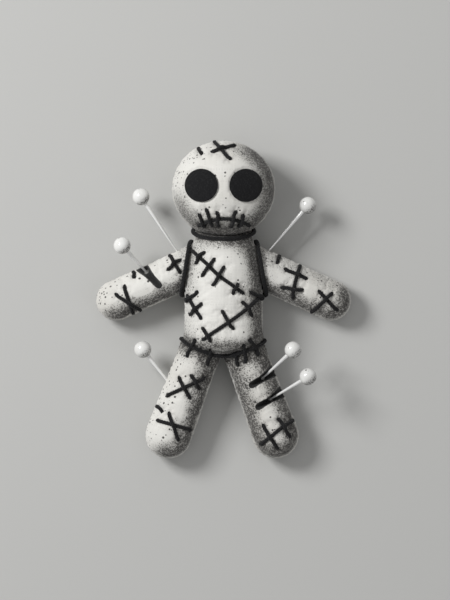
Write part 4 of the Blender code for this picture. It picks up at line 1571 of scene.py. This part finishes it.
@dataclass
class StuffedPart:
    """One stuffed part of the doll: cloth round a filling.

    The scale is how much larger the part is while its cloth is simulated. The hem is how
    far along the part a band of painted shade runs across it. The rests are places in the plan on
    which something lies, each with its radius. The start is where the pressed cloth lies,
    and free is how far each place of it may swell.
    """

    node: str
    spine: Spine
    joints: tuple[Joint, ...]
    fit: Fit = Fit()
    gathers: Gathers = Gathers()
    shade_and_flecks: ShadeAndFlecks = ShadeAndFlecks()
    voxel: float = 0.8 * MM
    swell: float = 0.75 * MM
    scale: float = 10.0
    shaded_ways: tuple[ShadeWay, ...] = (LOWER_RIGHT,)
    hem: float | None = None
    pulls: list[Pull] = field(default_factory=list)
    lines: list[Vector] = field(default_factory=list)
    pins: list[BallPin] = field(default_factory=list)
    tucks: list[Tuck] = field(default_factory=list)
    rests: list[tuple[Vector, float]] = field(default_factory=list)
    obj: bpy.types.Object | None = None
    form: BVHTree | None = None
    start: np.ndarray | None = None
    free: np.ndarray | None = None

    def cut_form(self) -> None:
        """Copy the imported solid, close the pins' bores and remesh it evenly."""
        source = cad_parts[self.node]
        mesh = source.data.copy()
        self.obj = bpy.data.objects.new(self.node + "_cloth", mesh)
        bpy.context.scene.collection.objects.link(self.obj)
        work = bmesh.new()
        work.from_mesh(mesh)
        bmesh.ops.remove_doubles(work, verts=work.verts, dist=MERGE_DISTANCE)
        for pin in self.pins:
            doomed = [face for face in work.faces
                      if all(self.in_bore(vertex.co, pin) for vertex in face.verts)]
            bmesh.ops.delete(work, geom=doomed, context="FACES")
        bmesh.ops.holes_fill(work, edges=work.edges, sides=0)
        bmesh.ops.triangulate(work, faces=[face for face in work.faces if len(face.verts) > 4])
        work.to_mesh(mesh)
        work.free()
        mesh.materials.clear()
        self.form = tree_of(self.obj)
        set_coordinates(self.obj, coordinates(self.obj) * self.scale)
        remesh = self.obj.modifiers.new("even", "REMESH")
        remesh.mode = "VOXEL"
        remesh.voxel_size = self.voxel * self.scale
        apply_modifiers(self.obj)
        set_coordinates(self.obj, coordinates(self.obj) / self.scale)

    @staticmethod
    def in_bore(place: Vector, pin: BallPin) -> bool:
        """Tell whether a place lies on the wall or the end of a pin's bore.

        Args:
            place: The place.
            pin: The pin.

        Returns:
            Whether it does.
        """
        run = (place - pin.thick_end).dot(pin.direction)
        off = (place - pin.thick_end - pin.direction * run).length
        length = (pin.point - pin.thick_end).length
        taper = SHAFT_RADIUS + (POINT_RADIUS - SHAFT_RADIUS) * min(run / length, 1)
        return off < taper + BORE_PLAY and run > 0

    def neighbour_gap(self, places: np.ndarray) -> np.ndarray:
        """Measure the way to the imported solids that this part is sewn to.

        Args:
            places: Rows of places.

        Returns:
            A distance for each place.
        """
        gaps = [distances_to(tree_of(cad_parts[joint.neighbour]), places)
                for joint in self.joints]
        return np.min(gaps, axis=0)

    def tuck_distance(self, places: np.ndarray) -> np.ndarray:
        """Measure how far places lie outside every pin's tuck.

        Args:
            places: Rows of places.

        Returns:
            A distance for each, at most TUCK_NEAR.
        """
        distance = np.full(len(places), TUCK_NEAR)
        for tuck in self.tucks:
            distance = np.minimum(distance, tuck.distances(places))
        return distance

    def prepare(self) -> None:
        """Measure the cloth, press it in where it is sewn and pin it there."""
        fit = self.fit
        rest = coordinates(self.obj)
        facing = normals(self.obj)
        seam = np.abs(self.spine.measure(rest)["lift"])
        gap = self.neighbour_gap(rest)
        tucked = self.tuck_distance(rest) < fit.tuck_held
        groove = np.full(len(rest), FAR)
        if self.lines:
            lines = point_tree(self.lines)
            groove = np.array([lines.find(Vector(row))[2] for row in rest])
        press = bell(groove, fit.yarn_width) * fit.yarn_depth
        pulled = np.full(len(rest), FAR)
        for pull in self.pulls:
            away = np.linalg.norm(rest - np.array(pull.place), axis=1)
            press = np.maximum(press, bell(away, pull.width) * pull.depth)
            pulled = np.minimum(pulled, away)
        upright = facing[:, 2] ** 2 < 0.25
        press = np.maximum(press, bell(seam, fit.seam_width) * fit.seam_depth * upright)
        self.free = np.minimum(self.swell, np.maximum(gap - fit.joint_gap, 0) / 3)
        self.free = np.where(tucked, 0, self.free)
        for spot, reach in self.rests:
            away = np.linalg.norm(rest[:, :2] - np.array(spot)[:2], axis=1)
            covered = (away < reach) & (facing[:, 2] > 0)
            self.free = np.where(covered, np.minimum(self.free, fit.rest_swell), self.free)
        self.start = rest - facing * press[:, None]
        set_coordinates(self.obj, self.start)
        held = (seam < fit.seam_held) | (groove < fit.yarn_held) | (pulled < fit.pull_held)
        held |= (gap < fit.joint_held) | tucked | (rest[:, 2] < fit.floor_held)
        group = self.obj.vertex_groups.new(name="held")
        group.add([int(index) for index in np.nonzero(held)[0]], 1.0, "REPLACE")

    def add_cloth(self) -> None:
        """Give the part Blender's cloth, blown up a little and cut a little loose."""
        set_coordinates(self.obj, self.start * self.scale)
        cloth = self.obj.modifiers.new("stuffing", "CLOTH")
        settings = cloth.settings
        settings.quality = 6
        settings.mass = 0.3
        settings.tension_stiffness = 14
        settings.compression_stiffness = 14
        settings.shear_stiffness = 6
        settings.bending_stiffness = 0.35
        settings.vertex_group_mass = "held"
        settings.pin_stiffness = 1.0
        settings.shrink_min = -0.035
        settings.use_pressure = True
        settings.uniform_pressure_force = 4.0
        settings.effector_weights.gravity = 0
        cloth.collision_settings.use_collision = False
        cloth.point_cache.frame_start = 1
        cloth.point_cache.frame_end = CLOTH_FRAMES

    def take_cloth(self) -> None:
        """Keep what the cloth did, as far as the part may swell."""
        graph = bpy.context.evaluated_depsgraph_get()
        shown = self.obj.evaluated_get(graph).to_mesh()
        blown = np.empty(len(shown.vertices) * 3)
        shown.vertices.foreach_get("co", blown)
        self.obj.modifiers.clear()
        self.settle(blown.reshape(-1, 3) / self.scale)

    def settle(self, blown: np.ndarray) -> None:
        """Cap how far the cloth moved, and keep it above the floor.

        Args:
            blown: Where the cloth went, in rows.
        """
        moved = blown - self.start
        length = np.linalg.norm(moved, axis=1)
        cap = self.free * np.tanh(length / np.maximum(self.free, TINY))
        moved *= (cap / np.maximum(length, TINY))[:, None]
        places = self.start + moved
        places[:, 2] = np.maximum(places[:, 2], FLOOR_LIFT)
        set_coordinates(self.obj, places)

    def finish_cloth(self, material: bpy.types.Material) -> bpy.types.Object:
        """Refine the cloth, gather it at its seams and dress it.

        Args:
            material: The cloth's finish.

        Returns:
            The piece.
        """
        refine = self.obj.modifiers.new("refine", "SUBSURF")
        refine.levels = 1
        refine.render_levels = 1
        apply_modifiers(self.obj)
        places = coordinates(self.obj)
        facing = normals(self.obj)
        measure = self.spine.measure(places)
        tuck = self.tuck_distance(places)
        away, joint_shade = self.gathered(places, facing, measure)
        away *= eased(tuck, *self.gathers.tuck_fade)
        away = np.where(places[:, 2] < self.fit.floor_held, np.minimum(away, 0), away)
        places = places + facing * away[:, None]
        places[:, 2] = np.maximum(places[:, 2], FLOOR_LIFT)
        set_coordinates(self.obj, places)
        panel = np.stack((measure["along"], measure["across"], measure["lift"]), axis=1)
        attribute = self.obj.data.attributes.new("panel", "FLOAT_VECTOR", "POINT")
        attribute.data.foreach_set("vector", panel.ravel())
        edge, fleck = self.worn(measure, joint_shade)
        # The edge attribute holds the painted shade; the tuck attribute places the painted tuck
        # shadow
        store(self.obj, "edge", edge)
        store(self.obj, "fleck", fleck)
        store(self.obj, "tuck", tuck)
        self.obj.data.materials.append(material)
        pick(self.obj)
        bpy.ops.object.shade_smooth()
        dress(self.obj, Slot.CLOTH, self.node)
        return self.obj

    def gathered(self, places: np.ndarray, facing: np.ndarray,
                 measure: dict) -> tuple[np.ndarray, np.ndarray]:
        """Work out the small folds: along the side seams, at the joints and at the pulls.

        Args:
            places: The cloth's places.
            facing: The ways that it faces there.
            measure: What the spine measures of the places.

        Returns:
            How far the folds stand out at each place, and how much painted shade the joints put
            there.
        """
        gathers = self.gathers
        wobble = np.array([noise.noise(Vector(row) * gathers.wobble_scale) for row in places])
        side = (np.abs(facing[:, 2]) < 0.75) * bell(np.abs(measure["lift"]), gathers.seam_reach)
        waves = np.cos(measure["run"] / gathers.seam_pitch * math.tau + wobble * 5)
        away = side * waves * gathers.seam_depth
        joint_shade = np.zeros(len(places))
        for joint in self.joints:
            gap = distances_to(tree_of(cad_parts[joint.neighbour]), places)
            # Painted shade beside each joint
            joint_shade = np.maximum(joint_shade, bell(gap, self.shade_and_flecks.joint_shade_width) * joint.painted_shade)
            fold = np.cos(self.fan_angle(places, joint) * joint.waves + wobble * 4)
            reach = bell(np.maximum(gap - gathers.joint_start, 0), gathers.joint_reach)
            away += reach * fold * gathers.joint_depth * np.clip(gap / gathers.joint_start, 0, 1)
        away += self.pull_folds(places)
        rough = np.array([noise.fractal(Vector(row) * gathers.rough_scale, 0.9, 2.2, 3)
                          for row in places])
        return away + rough * gathers.rough_depth, joint_shade

    def worn(self, measure: dict, joint_shade: np.ndarray) -> tuple[np.ndarray, np.ndarray]:
        """Give how much painted shade the cloth takes, and where it is flecked.

        Args:
            measure: What the spine measures of the cloth's places.
            joint_shade: How much painted shade each place takes because it lies near the next part.

        Returns:
            Two shares from nothing to one: the painted shade, highest inside the lower right edges
            and at joints, and the flecks, most at the upper left edges.
        """
        shade_and_flecks = self.shade_and_flecks
        level = np.clip(measure["lift"] / self.spine.half_depth, -1, 1)
        inset = (1 - np.sqrt(1 - level ** 2)) * self.spine.end_half
        # Held back at the very rim, the painted shade leaves a lighter rim there, a painted rim
        # light
        rim = 0.30 + 0.70 * eased(inset, *shade_and_flecks.shade_rim)
        band = (1 - eased(inset, *shade_and_flecks.shade_band)) * rim
        shade_share = np.max([painted_shade.share(measure["out"]) for painted_shade in self.shaded_ways], axis=0)
        fleck = (1 - eased(inset, *shade_and_flecks.fleck_band)) * (1 - LOWER_RIGHT.share(measure["out"]))
        # Painted shade in a band inside the lower right edges and beside joints
        painted_shade = band * (0.08 + 0.92 * shade_share) + joint_shade
        if self.hem is not None:
            # Painted shade in a band across the torso's foot
            band = bell(measure["along"] - self.hem, shade_and_flecks.hem_width) * shade_and_flecks.hem_strength
            painted_shade = np.maximum(painted_shade, band)
        return np.clip(painted_shade, 0, 1), fleck

    def pull_folds(self, places: np.ndarray) -> np.ndarray:
        """Fold the cloth a little where thread or a pin pulls it in.

        Args:
            places: Rows of places.

        Returns:
            The height of the folds at each.
        """
        folds = np.zeros(len(places))
        for number, pull in enumerate(self.pulls):
            off = places - np.array(pull.place)
            away = np.linalg.norm(off, axis=1)
            near = away < self.gathers.pull_near
            angle = np.arctan2(off[near, 1], off[near, 0])
            ring = bell(away[near] - self.gathers.pull_ring, self.gathers.pull_width)
            waves = np.cos(angle * self.gathers.pull_waves + number * 1.7)
            folds[near] += waves * ring * self.gathers.pull_depth
        return folds

    @staticmethod
    def fan_angle(places: np.ndarray, joint: Joint) -> np.ndarray:
        """Measure angles around a joint's axis.

        Args:
            places: Rows of places.
            joint: The joint.

        Returns:
            An angle for each place.
        """
        first = joint.axis.orthogonal().normalized()
        second = joint.axis.cross(first)
        off = places - np.array(joint.foot)
        return np.arctan2(off @ np.array(second), off @ np.array(first))


@dataclass
class FeltEye:
    """A round disc of felt that lies on the face, with a fuzzy rim."""

    side: Side
    corners: int = 72
    rings: int = 9
    soft_edge: float = 0.38 * MM
    lift: float = 0.08 * MM
    fuzz: float = 0.07 * MM
    fuzz_scale: float = 900.0
    rim_width: float = 0.6 * MM

    def build(self, head: BVHTree, material: bpy.types.Material) -> bpy.types.Object:
        """Model the disc: inset rings, a thickness and soft edges.

        Args:
            head: The cloth that it lies on.
            material: The felt.

        Returns:
            The eye.
        """
        middle = Vector((self.side.value * EYE_SPREAD / 2, HEAD_Y + EYE_RAISE, 0))
        deselect_all()
        bpy.ops.mesh.primitive_circle_add(
            vertices=self.corners, radius=EYE_DIAMETER / 2, fill_type="NGON", location=middle)
        disc = just_added("felt_eye_" + self.side.word)
        bpy.ops.object.mode_set(mode="EDIT")
        bpy.ops.mesh.select_all(action="SELECT")
        for _ in range(self.rings):
            bpy.ops.mesh.inset(thickness=EYE_DIAMETER / 2 / (self.rings + 1), use_boundary=True)
        bpy.ops.mesh.poke()
        bpy.ops.mesh.select_all(action="SELECT")
        bpy.ops.mesh.extrude_region_move(TRANSFORM_OT_translate={"value": (0, 0, EYE_THICKNESS)})
        bpy.ops.mesh.select_all(action="SELECT")
        bpy.ops.mesh.normals_make_consistent(inside=False)
        bpy.ops.object.mode_set(mode="OBJECT")
        apply_place(disc)
        bevel = disc.modifiers.new("soft_edge", "BEVEL")
        bevel.width = self.soft_edge
        bevel.segments = 3
        bevel.limit_method = "ANGLE"
        apply_modifiers(disc)
        self.lay_on(disc, head, middle)
        disc.data.materials.append(material)
        pick(disc)
        bpy.ops.object.shade_smooth()
        return dress(disc, Slot.FELT, "eye_" + self.side.word)

    def lay_on(self, disc: bpy.types.Object, head: BVHTree, middle: Vector) -> None:
        """Lay a flat disc on the curve of the head, with a soft uneven edge.

        Args:
            disc: The disc.
            head: The head's cloth.
            middle: The disc's middle in the plan.
        """
        places = coordinates(disc)
        centre = np.array((0.0, HEAD_Y, HEAD_Z))
        half = np.array((HEAD_WIDTH / 2, HEAD_HEIGHT / 2, HEAD_DEPTH / 2))
        for index, (x, y, level) in enumerate(places.copy()):
            out = (np.array((x, y, 0)) - centre) / half
            height = math.sqrt(max(1 - out[0] ** 2 - out[1] ** 2, 0))
            slope = np.array((out[0] / half[0], out[1] / half[1], height / half[2]))
            steep = slope[2] / np.linalg.norm(slope)
            hit = head.ray_cast(Vector((x, y, SKY)), -UP)[0]
            floor = max(HEAD_Z + height * half[2], hit.z if hit else 0)
            fuzz = noise.noise(Vector((x, y, level)) * self.fuzz_scale) * self.fuzz
            out_flat = Vector((x - middle.x, y - middle.y))
            rim = bell(EYE_DIAMETER / 2 - out_flat.length, self.rim_width)
            shift = out_flat.normalized() * fuzz * rim if out_flat.length > 0 else out_flat
            places[index] = (x + shift.x, y + shift.y, floor + (level + self.lift) / steep + fuzz)
        set_coordinates(disc, places)


@dataclass
class Doll:
    """The whole doll: its stuffed parts, eyes, pins and yarn.

    The pulls are how deep and how wide a pin and a stitch's end pull the cloth in.
    """

    yarn: Yarn = field(default_factory=Yarn)
    cord: Yarn = field(default_factory=lambda: Yarn(
        radius=CORD_RADIUS, strand_radius=0.55 * MM, strand_offset=0.50 * MM, pitch=4.8 * MM))
    pin_pull: tuple = (0.9 * MM, 1.7 * MM)
    stitch_pull: tuple = (0.75 * MM, 1.2 * MM)
    waist_points: int = 52
    parts: dict[str, StuffedPart] = field(default_factory=dict)
    pins: list[BallPin] = field(default_factory=list)
    seams: dict[str, list[Vector]] = field(default_factory=dict)

    def lay_out(self) -> None:
        """Set out the stuffed parts, the pins and the eyes."""
        neck = Joint("head", Vector((0, NECK_Y, TORSO_Z)), Vector((0, 1, 0)), 26)
        torso_joints = [neck]
        for side in Side:
            root, tip, _ = arm_line(side)
            spine = Spine(root, tip, ARM_WIDTH / 2, ARM_WIDTH / 2, ARM_DEPTH / 2)
            torso_joints.append(self.add_limb("arm_" + side.word, spine, 18, 0.35))
            root, tip, _ = leg_line(side)
            spine = Spine(root, tip, HIP_WIDTH / 2, FOOT_WIDTH / 2, LEG_DEPTH / 2)
            torso_joints.append(self.add_limb("leg_" + side.word, spine, 20, 1.0))
        head_middle = Vector((0, HEAD_Y, HEAD_Z))
        head_spine = Spine(head_middle, head_middle, HEAD_WIDTH / 2, HEAD_WIDTH / 2, HEAD_DEPTH / 2)
        self.parts["head"] = StuffedPart(
            "head", head_spine, (Joint("torso", neck.foot, neck.axis, neck.waves),))
        torso_spine = Spine(Vector((0, NECK_Y + NECK_TUCK, TORSO_Z)),
                            Vector((0, CROTCH_Y + SEAT_HEIGHT, TORSO_Z)),
                            CHEST_WIDTH / 2, BELLY_WIDTH / 2, TORSO_DEPTH / 2)
        self.parts["torso"] = StuffedPart("torso", torso_spine, tuple(torso_joints))
        self.mark_painted_shade()
        self.stick_pins()
        for side in Side:
            spot = Vector((side.value * EYE_SPREAD / 2, HEAD_Y + EYE_RAISE, 0))
            self.parts["head"].rests.append((spot, EYE_DIAMETER / 2 + 0.5 * MM))

    def add_limb(self, name: str, spine: Spine, waves: int, painted_shade: float) -> Joint:
        """Add an arm or a leg.

        Args:
            name: Its node.
            spine: Its middle line.
            waves: How many folds its joint has.
            painted_shade: How much painted shade its joint takes.

        Returns:
            The torso's joint with it.
        """
        axis = (spine.end - spine.start).normalized()
        joint = Joint("torso", spine.start, axis, waves, painted_shade)
        self.parts[name] = StuffedPart(name, spine, (joint,))
        return Joint(name, spine.start, axis, waves, painted_shade)

    def mark_painted_shade(self) -> None:
        """Set the further ways towards which some parts take painted shade."""
        torso = self.parts["torso"]
        torso.hem = NECK_TUCK + TORSO_LENGTH - 4.2 * MM
        torso.shaded_ways = (LOWER_RIGHT, ShadeWay((-0.50, -0.87), 0.3, 1.0, 0.7))
        self.parts["leg_right"].shaded_ways = (LOWER_RIGHT, ShadeWay((-0.94, -0.35), 0.2, 0.8, 0.9))
        self.parts["head"].shaded_ways = (
            ShadeWay((0.88, -0.48), -0.60, 0.30), ShadeWay((-0.64, -0.77), 0.50, 1.0, 0.75))

    def stick_pins(self) -> None:
        """Set out the pins, and the tucks that three of them pull."""
        self.pins = [
            BallPin("pin_shoulder_left", "arm_left", lean=3.0),
            BallPin("pin_forearm_left", "arm_left", (0.66, 0.67), (-0.18, 0.62)),
            BallPin("pin_shoulder_right", "arm_right"),
            BallPin("pin_thigh_left", "leg_left"),
            BallPin("pin_thigh_right", "leg_right", (0.34, 0.36), (-0.19, 0.39)),
            BallPin("pin_shin_right", "leg_right", (0.32, 0.61), (-0.26, 0.64)),
        ]
        for pin in self.pins:
            limb = self.parts[pin.limb]
            limb.pins.append(pin)
            if pin.tuck_end:
                plan = PLANS[pin.limb]
                limb.tucks.append(Tuck.between(plan, limb.spine, pin.entry, pin.tuck_end))
            if pin.limb.startswith("arm"):
                self.parts["torso"].pins.append(pin)

    def mark_sewing(self) -> None:
        """Tell each part where the yarn lies on it and goes into it."""
        forms = {name: part.form for name, part in self.parts.items()}
        for scar in SCARS:
            plan = PLANS[scar.part]
            trees = [forms[scar.part]]
            for points in (scar.line, *scar.crosses):
                self.mark_line(plan, points, trees, (scar.part,))
        for points in WAIST_CROSSES:
            names = ("torso", "leg_left", "leg_right")
            self.mark_line(TORSO_PLAN, points, [forms[name] for name in names], names)
        for pin in self.pins:
            part = self.parts[pin.limb]
            hit = part.form.ray_cast(pin.ball, pin.wire_way)[0]
            part.pulls.append(Pull(hit, *self.pin_pull))

    def mark_line(self, plan: Plan, points: tuple, trees: list[BVHTree],
                  names: tuple[str, ...]) -> None:
        """Mark one yarn's line and its two ends on the parts below it.

        Args:
            plan: The plan that the yarn is given in.
            points: Its points.
            trees: The forms below it.
            names: The parts to mark.
        """
        route = smooth_curve([plan.at(*point) for point in points], self.yarn.step)
        places, _ = self.yarn.drop(route, trees)
        cut = round(self.yarn.shorten / self.yarn.step)
        places = [Vector(place) for place in places[cut:-cut]]
        for name in names:
            part = self.parts[name]
            part.lines.extend(places)
            for place in (places[0], places[-1]):
                part.pulls.append(Pull(place, *self.stitch_pull))

    def stuff(self, material: bpy.types.Material) -> None:
        """Simulate the stuffed cloth of all parts together, and finish each.

        Args:
            material: The cloth's finish.
        """
        for part in self.parts.values():
            part.prepare()
        for part in self.parts.values():
            part.add_cloth()
        scene = bpy.context.scene
        for number in range(1, CLOTH_FRAMES + 1):
            scene.frame_set(number)
        for part in self.parts.values():
            part.take_cloth()
        scene.frame_set(1)
        for part in self.parts.values():
            part.finish_cloth(material)

    def find_seams(self) -> None:
        """Find the lines of the seams at the neck, the armholes and the waist."""
        packed = {name: tree_of(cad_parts[name]) for name in self.parts}
        down = Vector((0, -1, 0))
        cord_clear = CORD_RADIUS + LAY_GAP
        yarn_clear = YARN_RADIUS + LAY_GAP
        self.seams["neck_cord"] = Crease(
            packed["head"], packed["torso"], Vector((0, NECK_Y, TORSO_Z)), down, HEAD_WIDTH,
            (-NECK_TUCK, SHOULDER_DROP / 4), cord_clear + NECK_CORD_DROP, cord_clear).line()
        for side in Side:
            root, tip, _ = arm_line(side)
            self.seams["armhole_seam_" + side.word] = Crease(
                packed["torso"], packed["arm_" + side.word], root, (tip - root).normalized(),
                ARM_WIDTH / 2 + cord_clear + LAY_GAP, (0, CHEST_WIDTH / 2),
                cord_clear, cord_clear, ARMHOLE_BOW).line()
        legs = [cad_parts["leg_" + side.word] for side in Side]
        corners, faces = [], []
        for leg in legs:
            first = len(corners)
            corners.extend(vertex.co for vertex in leg.data.vertices)
            faces.extend([first + index for index in face.vertices] for face in leg.data.polygons)
        waist = Crease(packed["torso"], BVHTree.FromPolygons(corners, faces),
                       Vector((0, CROTCH_Y, TORSO_Z)), down, HEAD_WIDTH,
                       (-SEAT_HEIGHT, 2 * YARN_RADIUS), yarn_clear, yarn_clear)
        self.seams["waist_seam"] = [point for point in waist.line(self.waist_points)
                                    if abs(point.x - HIP_SHIFT) > WAIST_BRIDGE]

    def seam_line(self, name: str, middle: Vector) -> YarnLine:
        """Make a seam's points an even yarn line that faces away from its middle.

        Args:
            name: The seam's node.
            middle: The seam's middle.

        Returns:
            The closed line.
        """
        points = smooth_curve(self.seams[name], self.yarn.step, closed=True)
        rows = calmed(np.array(points), self.yarn.ring_reach, True)
        ahead = np.roll(rows, -1, axis=0) - np.roll(rows, 1, axis=0)
        out = rows - np.array(middle)
        ahead /= np.linalg.norm(ahead, axis=1)[:, None]
        out -= ahead * (out * ahead).sum(axis=1)[:, None]
        return YarnLine(rows, out / np.linalg.norm(out, axis=1)[:, None], True)

    def sew(self, material: bpy.types.Material) -> None:
        """Lay every yarn on the finished cloth.

        Args:
            material: The yarn's finish.
        """
        self.find_seams()
        trees = {name: tree_of(part.obj) for name, part in self.parts.items()}
        middles = {
            "neck_cord": Vector((0, NECK_Y, TORSO_Z)),
            "waist_seam": Vector((0, CROTCH_Y, TORSO_Z)),
            "armhole_seam_left": arm_line(Side.LEFT)[0],
            "armhole_seam_right": arm_line(Side.RIGHT)[0],
        }
        rings = {name: self.seam_line(name, middle) for name, middle in middles.items()}
        for name, ring in rings.items():
            lines, yarn = [ring], self.cord
            if name == "waist_seam":
                yarn = self.yarn
                below = self.flattened(ring, True)
                ground = [trees[part] for part in ("torso", "leg_left", "leg_right")]
                lines += [yarn.lay(TORSO_PLAN, points, ground, below) for points in WAIST_CROSSES]
            dress(yarn.spin(name + "_yarn", lines, material), Slot.YARN, name)
        for scar in SCARS:
            plan = PLANS[scar.part]
            ground = [trees[scar.part]]
            if scar.part.startswith("arm"):
                ground.append(trees["torso"])
            base = self.yarn.lay(plan, scar.line, ground)
            below = self.flattened(base, False)
            lines = [base, *(self.yarn.lay(plan, points, ground, below) for points in scar.crosses)]
            dress(self.yarn.spin(scar.node + "_yarn", lines, material), Slot.YARN, scar.node)

    @staticmethod
    def flattened(line: YarnLine, front_only: bool) -> KDTree:
        """Give a search tree over a yarn's line, flattened into the plan."""
        return point_tree([Vector((x, y, 0)) for x, y, z in line.centre
                           if not front_only or z > TORSO_Z])

    def build(self) -> None:
        """Build the doll."""
        self.lay_out()
        for part in self.parts.values():
            part.cut_form()
        LOG.info("forms cut")
        self.mark_sewing()
        self.stuff(ClothFinish().material())
        felt = FELT.material()
        head = tree_of(self.parts["head"].obj)
        for side in Side:
            FeltEye(side).build(head, felt)
        self.sew(YARN.material())
        steel, bead = SteelFinish().material(), BallFinish().material()
        for pin in self.pins:
            pin.build_shaft(steel)
            pin.build_ball(bead)


@dataclass(frozen=True)
class Lamp:
    """A square soft lamp that looks at the doll."""

    name: str
    place: tuple
    size: float
    power: float

    def hang(self) -> None:
        """Add the lamp."""
        data = bpy.data.lights.new(self.name, "AREA")
        data.shape = "SQUARE"
        data.size = self.size
        data.energy = self.power
        lamp = bpy.data.objects.new(self.name, data)
        bpy.context.scene.collection.objects.link(lamp)
        lamp.location = self.place
        lamp.rotation_euler = (-Vector(self.place)).to_track_quat("-Z", "Y").to_euler()


@dataclass
class Studio:
    """The pale floor, the soft light and the camera straight above the doll."""

    floor_colour: tuple = (0.56, 0.56, 0.545, 1.0)
    floor_shade: tuple = (0.53, 0.53, 0.52, 1.0)
    floor_size: float = 6.0
    world_light: float = 0.34
    lens: float = 1200.0
    seen_height: float = 283.4 * MM
    aim: tuple = (0.66 * MM, -0.24 * MM, 14 * MM)
    lamps: tuple[Lamp, ...] = (
        Lamp("key", (-0.82, 0.52, 0.92), 0.45, 13.0),
        Lamp("fill", (0.75, -0.55, 0.95), 0.9, 1.3),
    )

    def build(self) -> None:
        """Set up the floor, the lamps, the world and the camera."""
        self.lay_floor()
        for lamp in self.lamps:
            lamp.hang()
        world = bpy.data.worlds.new("studio")
        world.use_nodes = True
        background = world.node_tree.nodes["Background"]
        background.inputs["Color"].default_value = (1.0, 1.0, 1.0, 1.0)
        background.inputs["Strength"].default_value = self.world_light
        bpy.context.scene.world = world
        self.add_camera()

    def lay_floor(self) -> None:
        """Lay the plain pale floor."""
        deselect_all()
        bpy.ops.mesh.primitive_plane_add(size=self.floor_size, location=(0, 0, -FLOOR_LIFT))
        floor = just_added("floor")
        apply_place(floor)
        material, graph, shader = new_material("floor_paper")
        place = graph.add("TexCoord").outputs["Object"]
        cloud = graph.ramp(graph.noise(place, 3.0, 2.0), 0.3, 0.7, 0.0, 0.12)
        colour = graph.mix(cloud, self.floor_colour, self.floor_shade)
        graph.feed(shader.inputs["Base Color"], colour)
        graph.feed(shader.inputs["Roughness"], 0.85)
        floor.data.materials.append(material)

    def add_camera(self) -> None:
        """Hang the camera above the doll, its top towards the head."""
        data = bpy.data.cameras.new("camera")
        data.lens = self.lens
        data.clip_start = 0.05
        data.clip_end = 20.0
        camera = bpy.data.objects.new("camera", data)
        bpy.context.scene.collection.objects.link(camera)
        distance = self.seen_height * self.lens / data.sensor_width
        camera.location = Vector(self.aim) + UP * distance
        bpy.context.scene.camera = camera


def main() -> None:
    """Dress the doll and set up the studio round it."""
    scene = bpy.context.scene
    scene.view_settings.view_transform = "Standard"
    Studio().build()
    Doll().build()


if __name__ == "__main__":
    main()
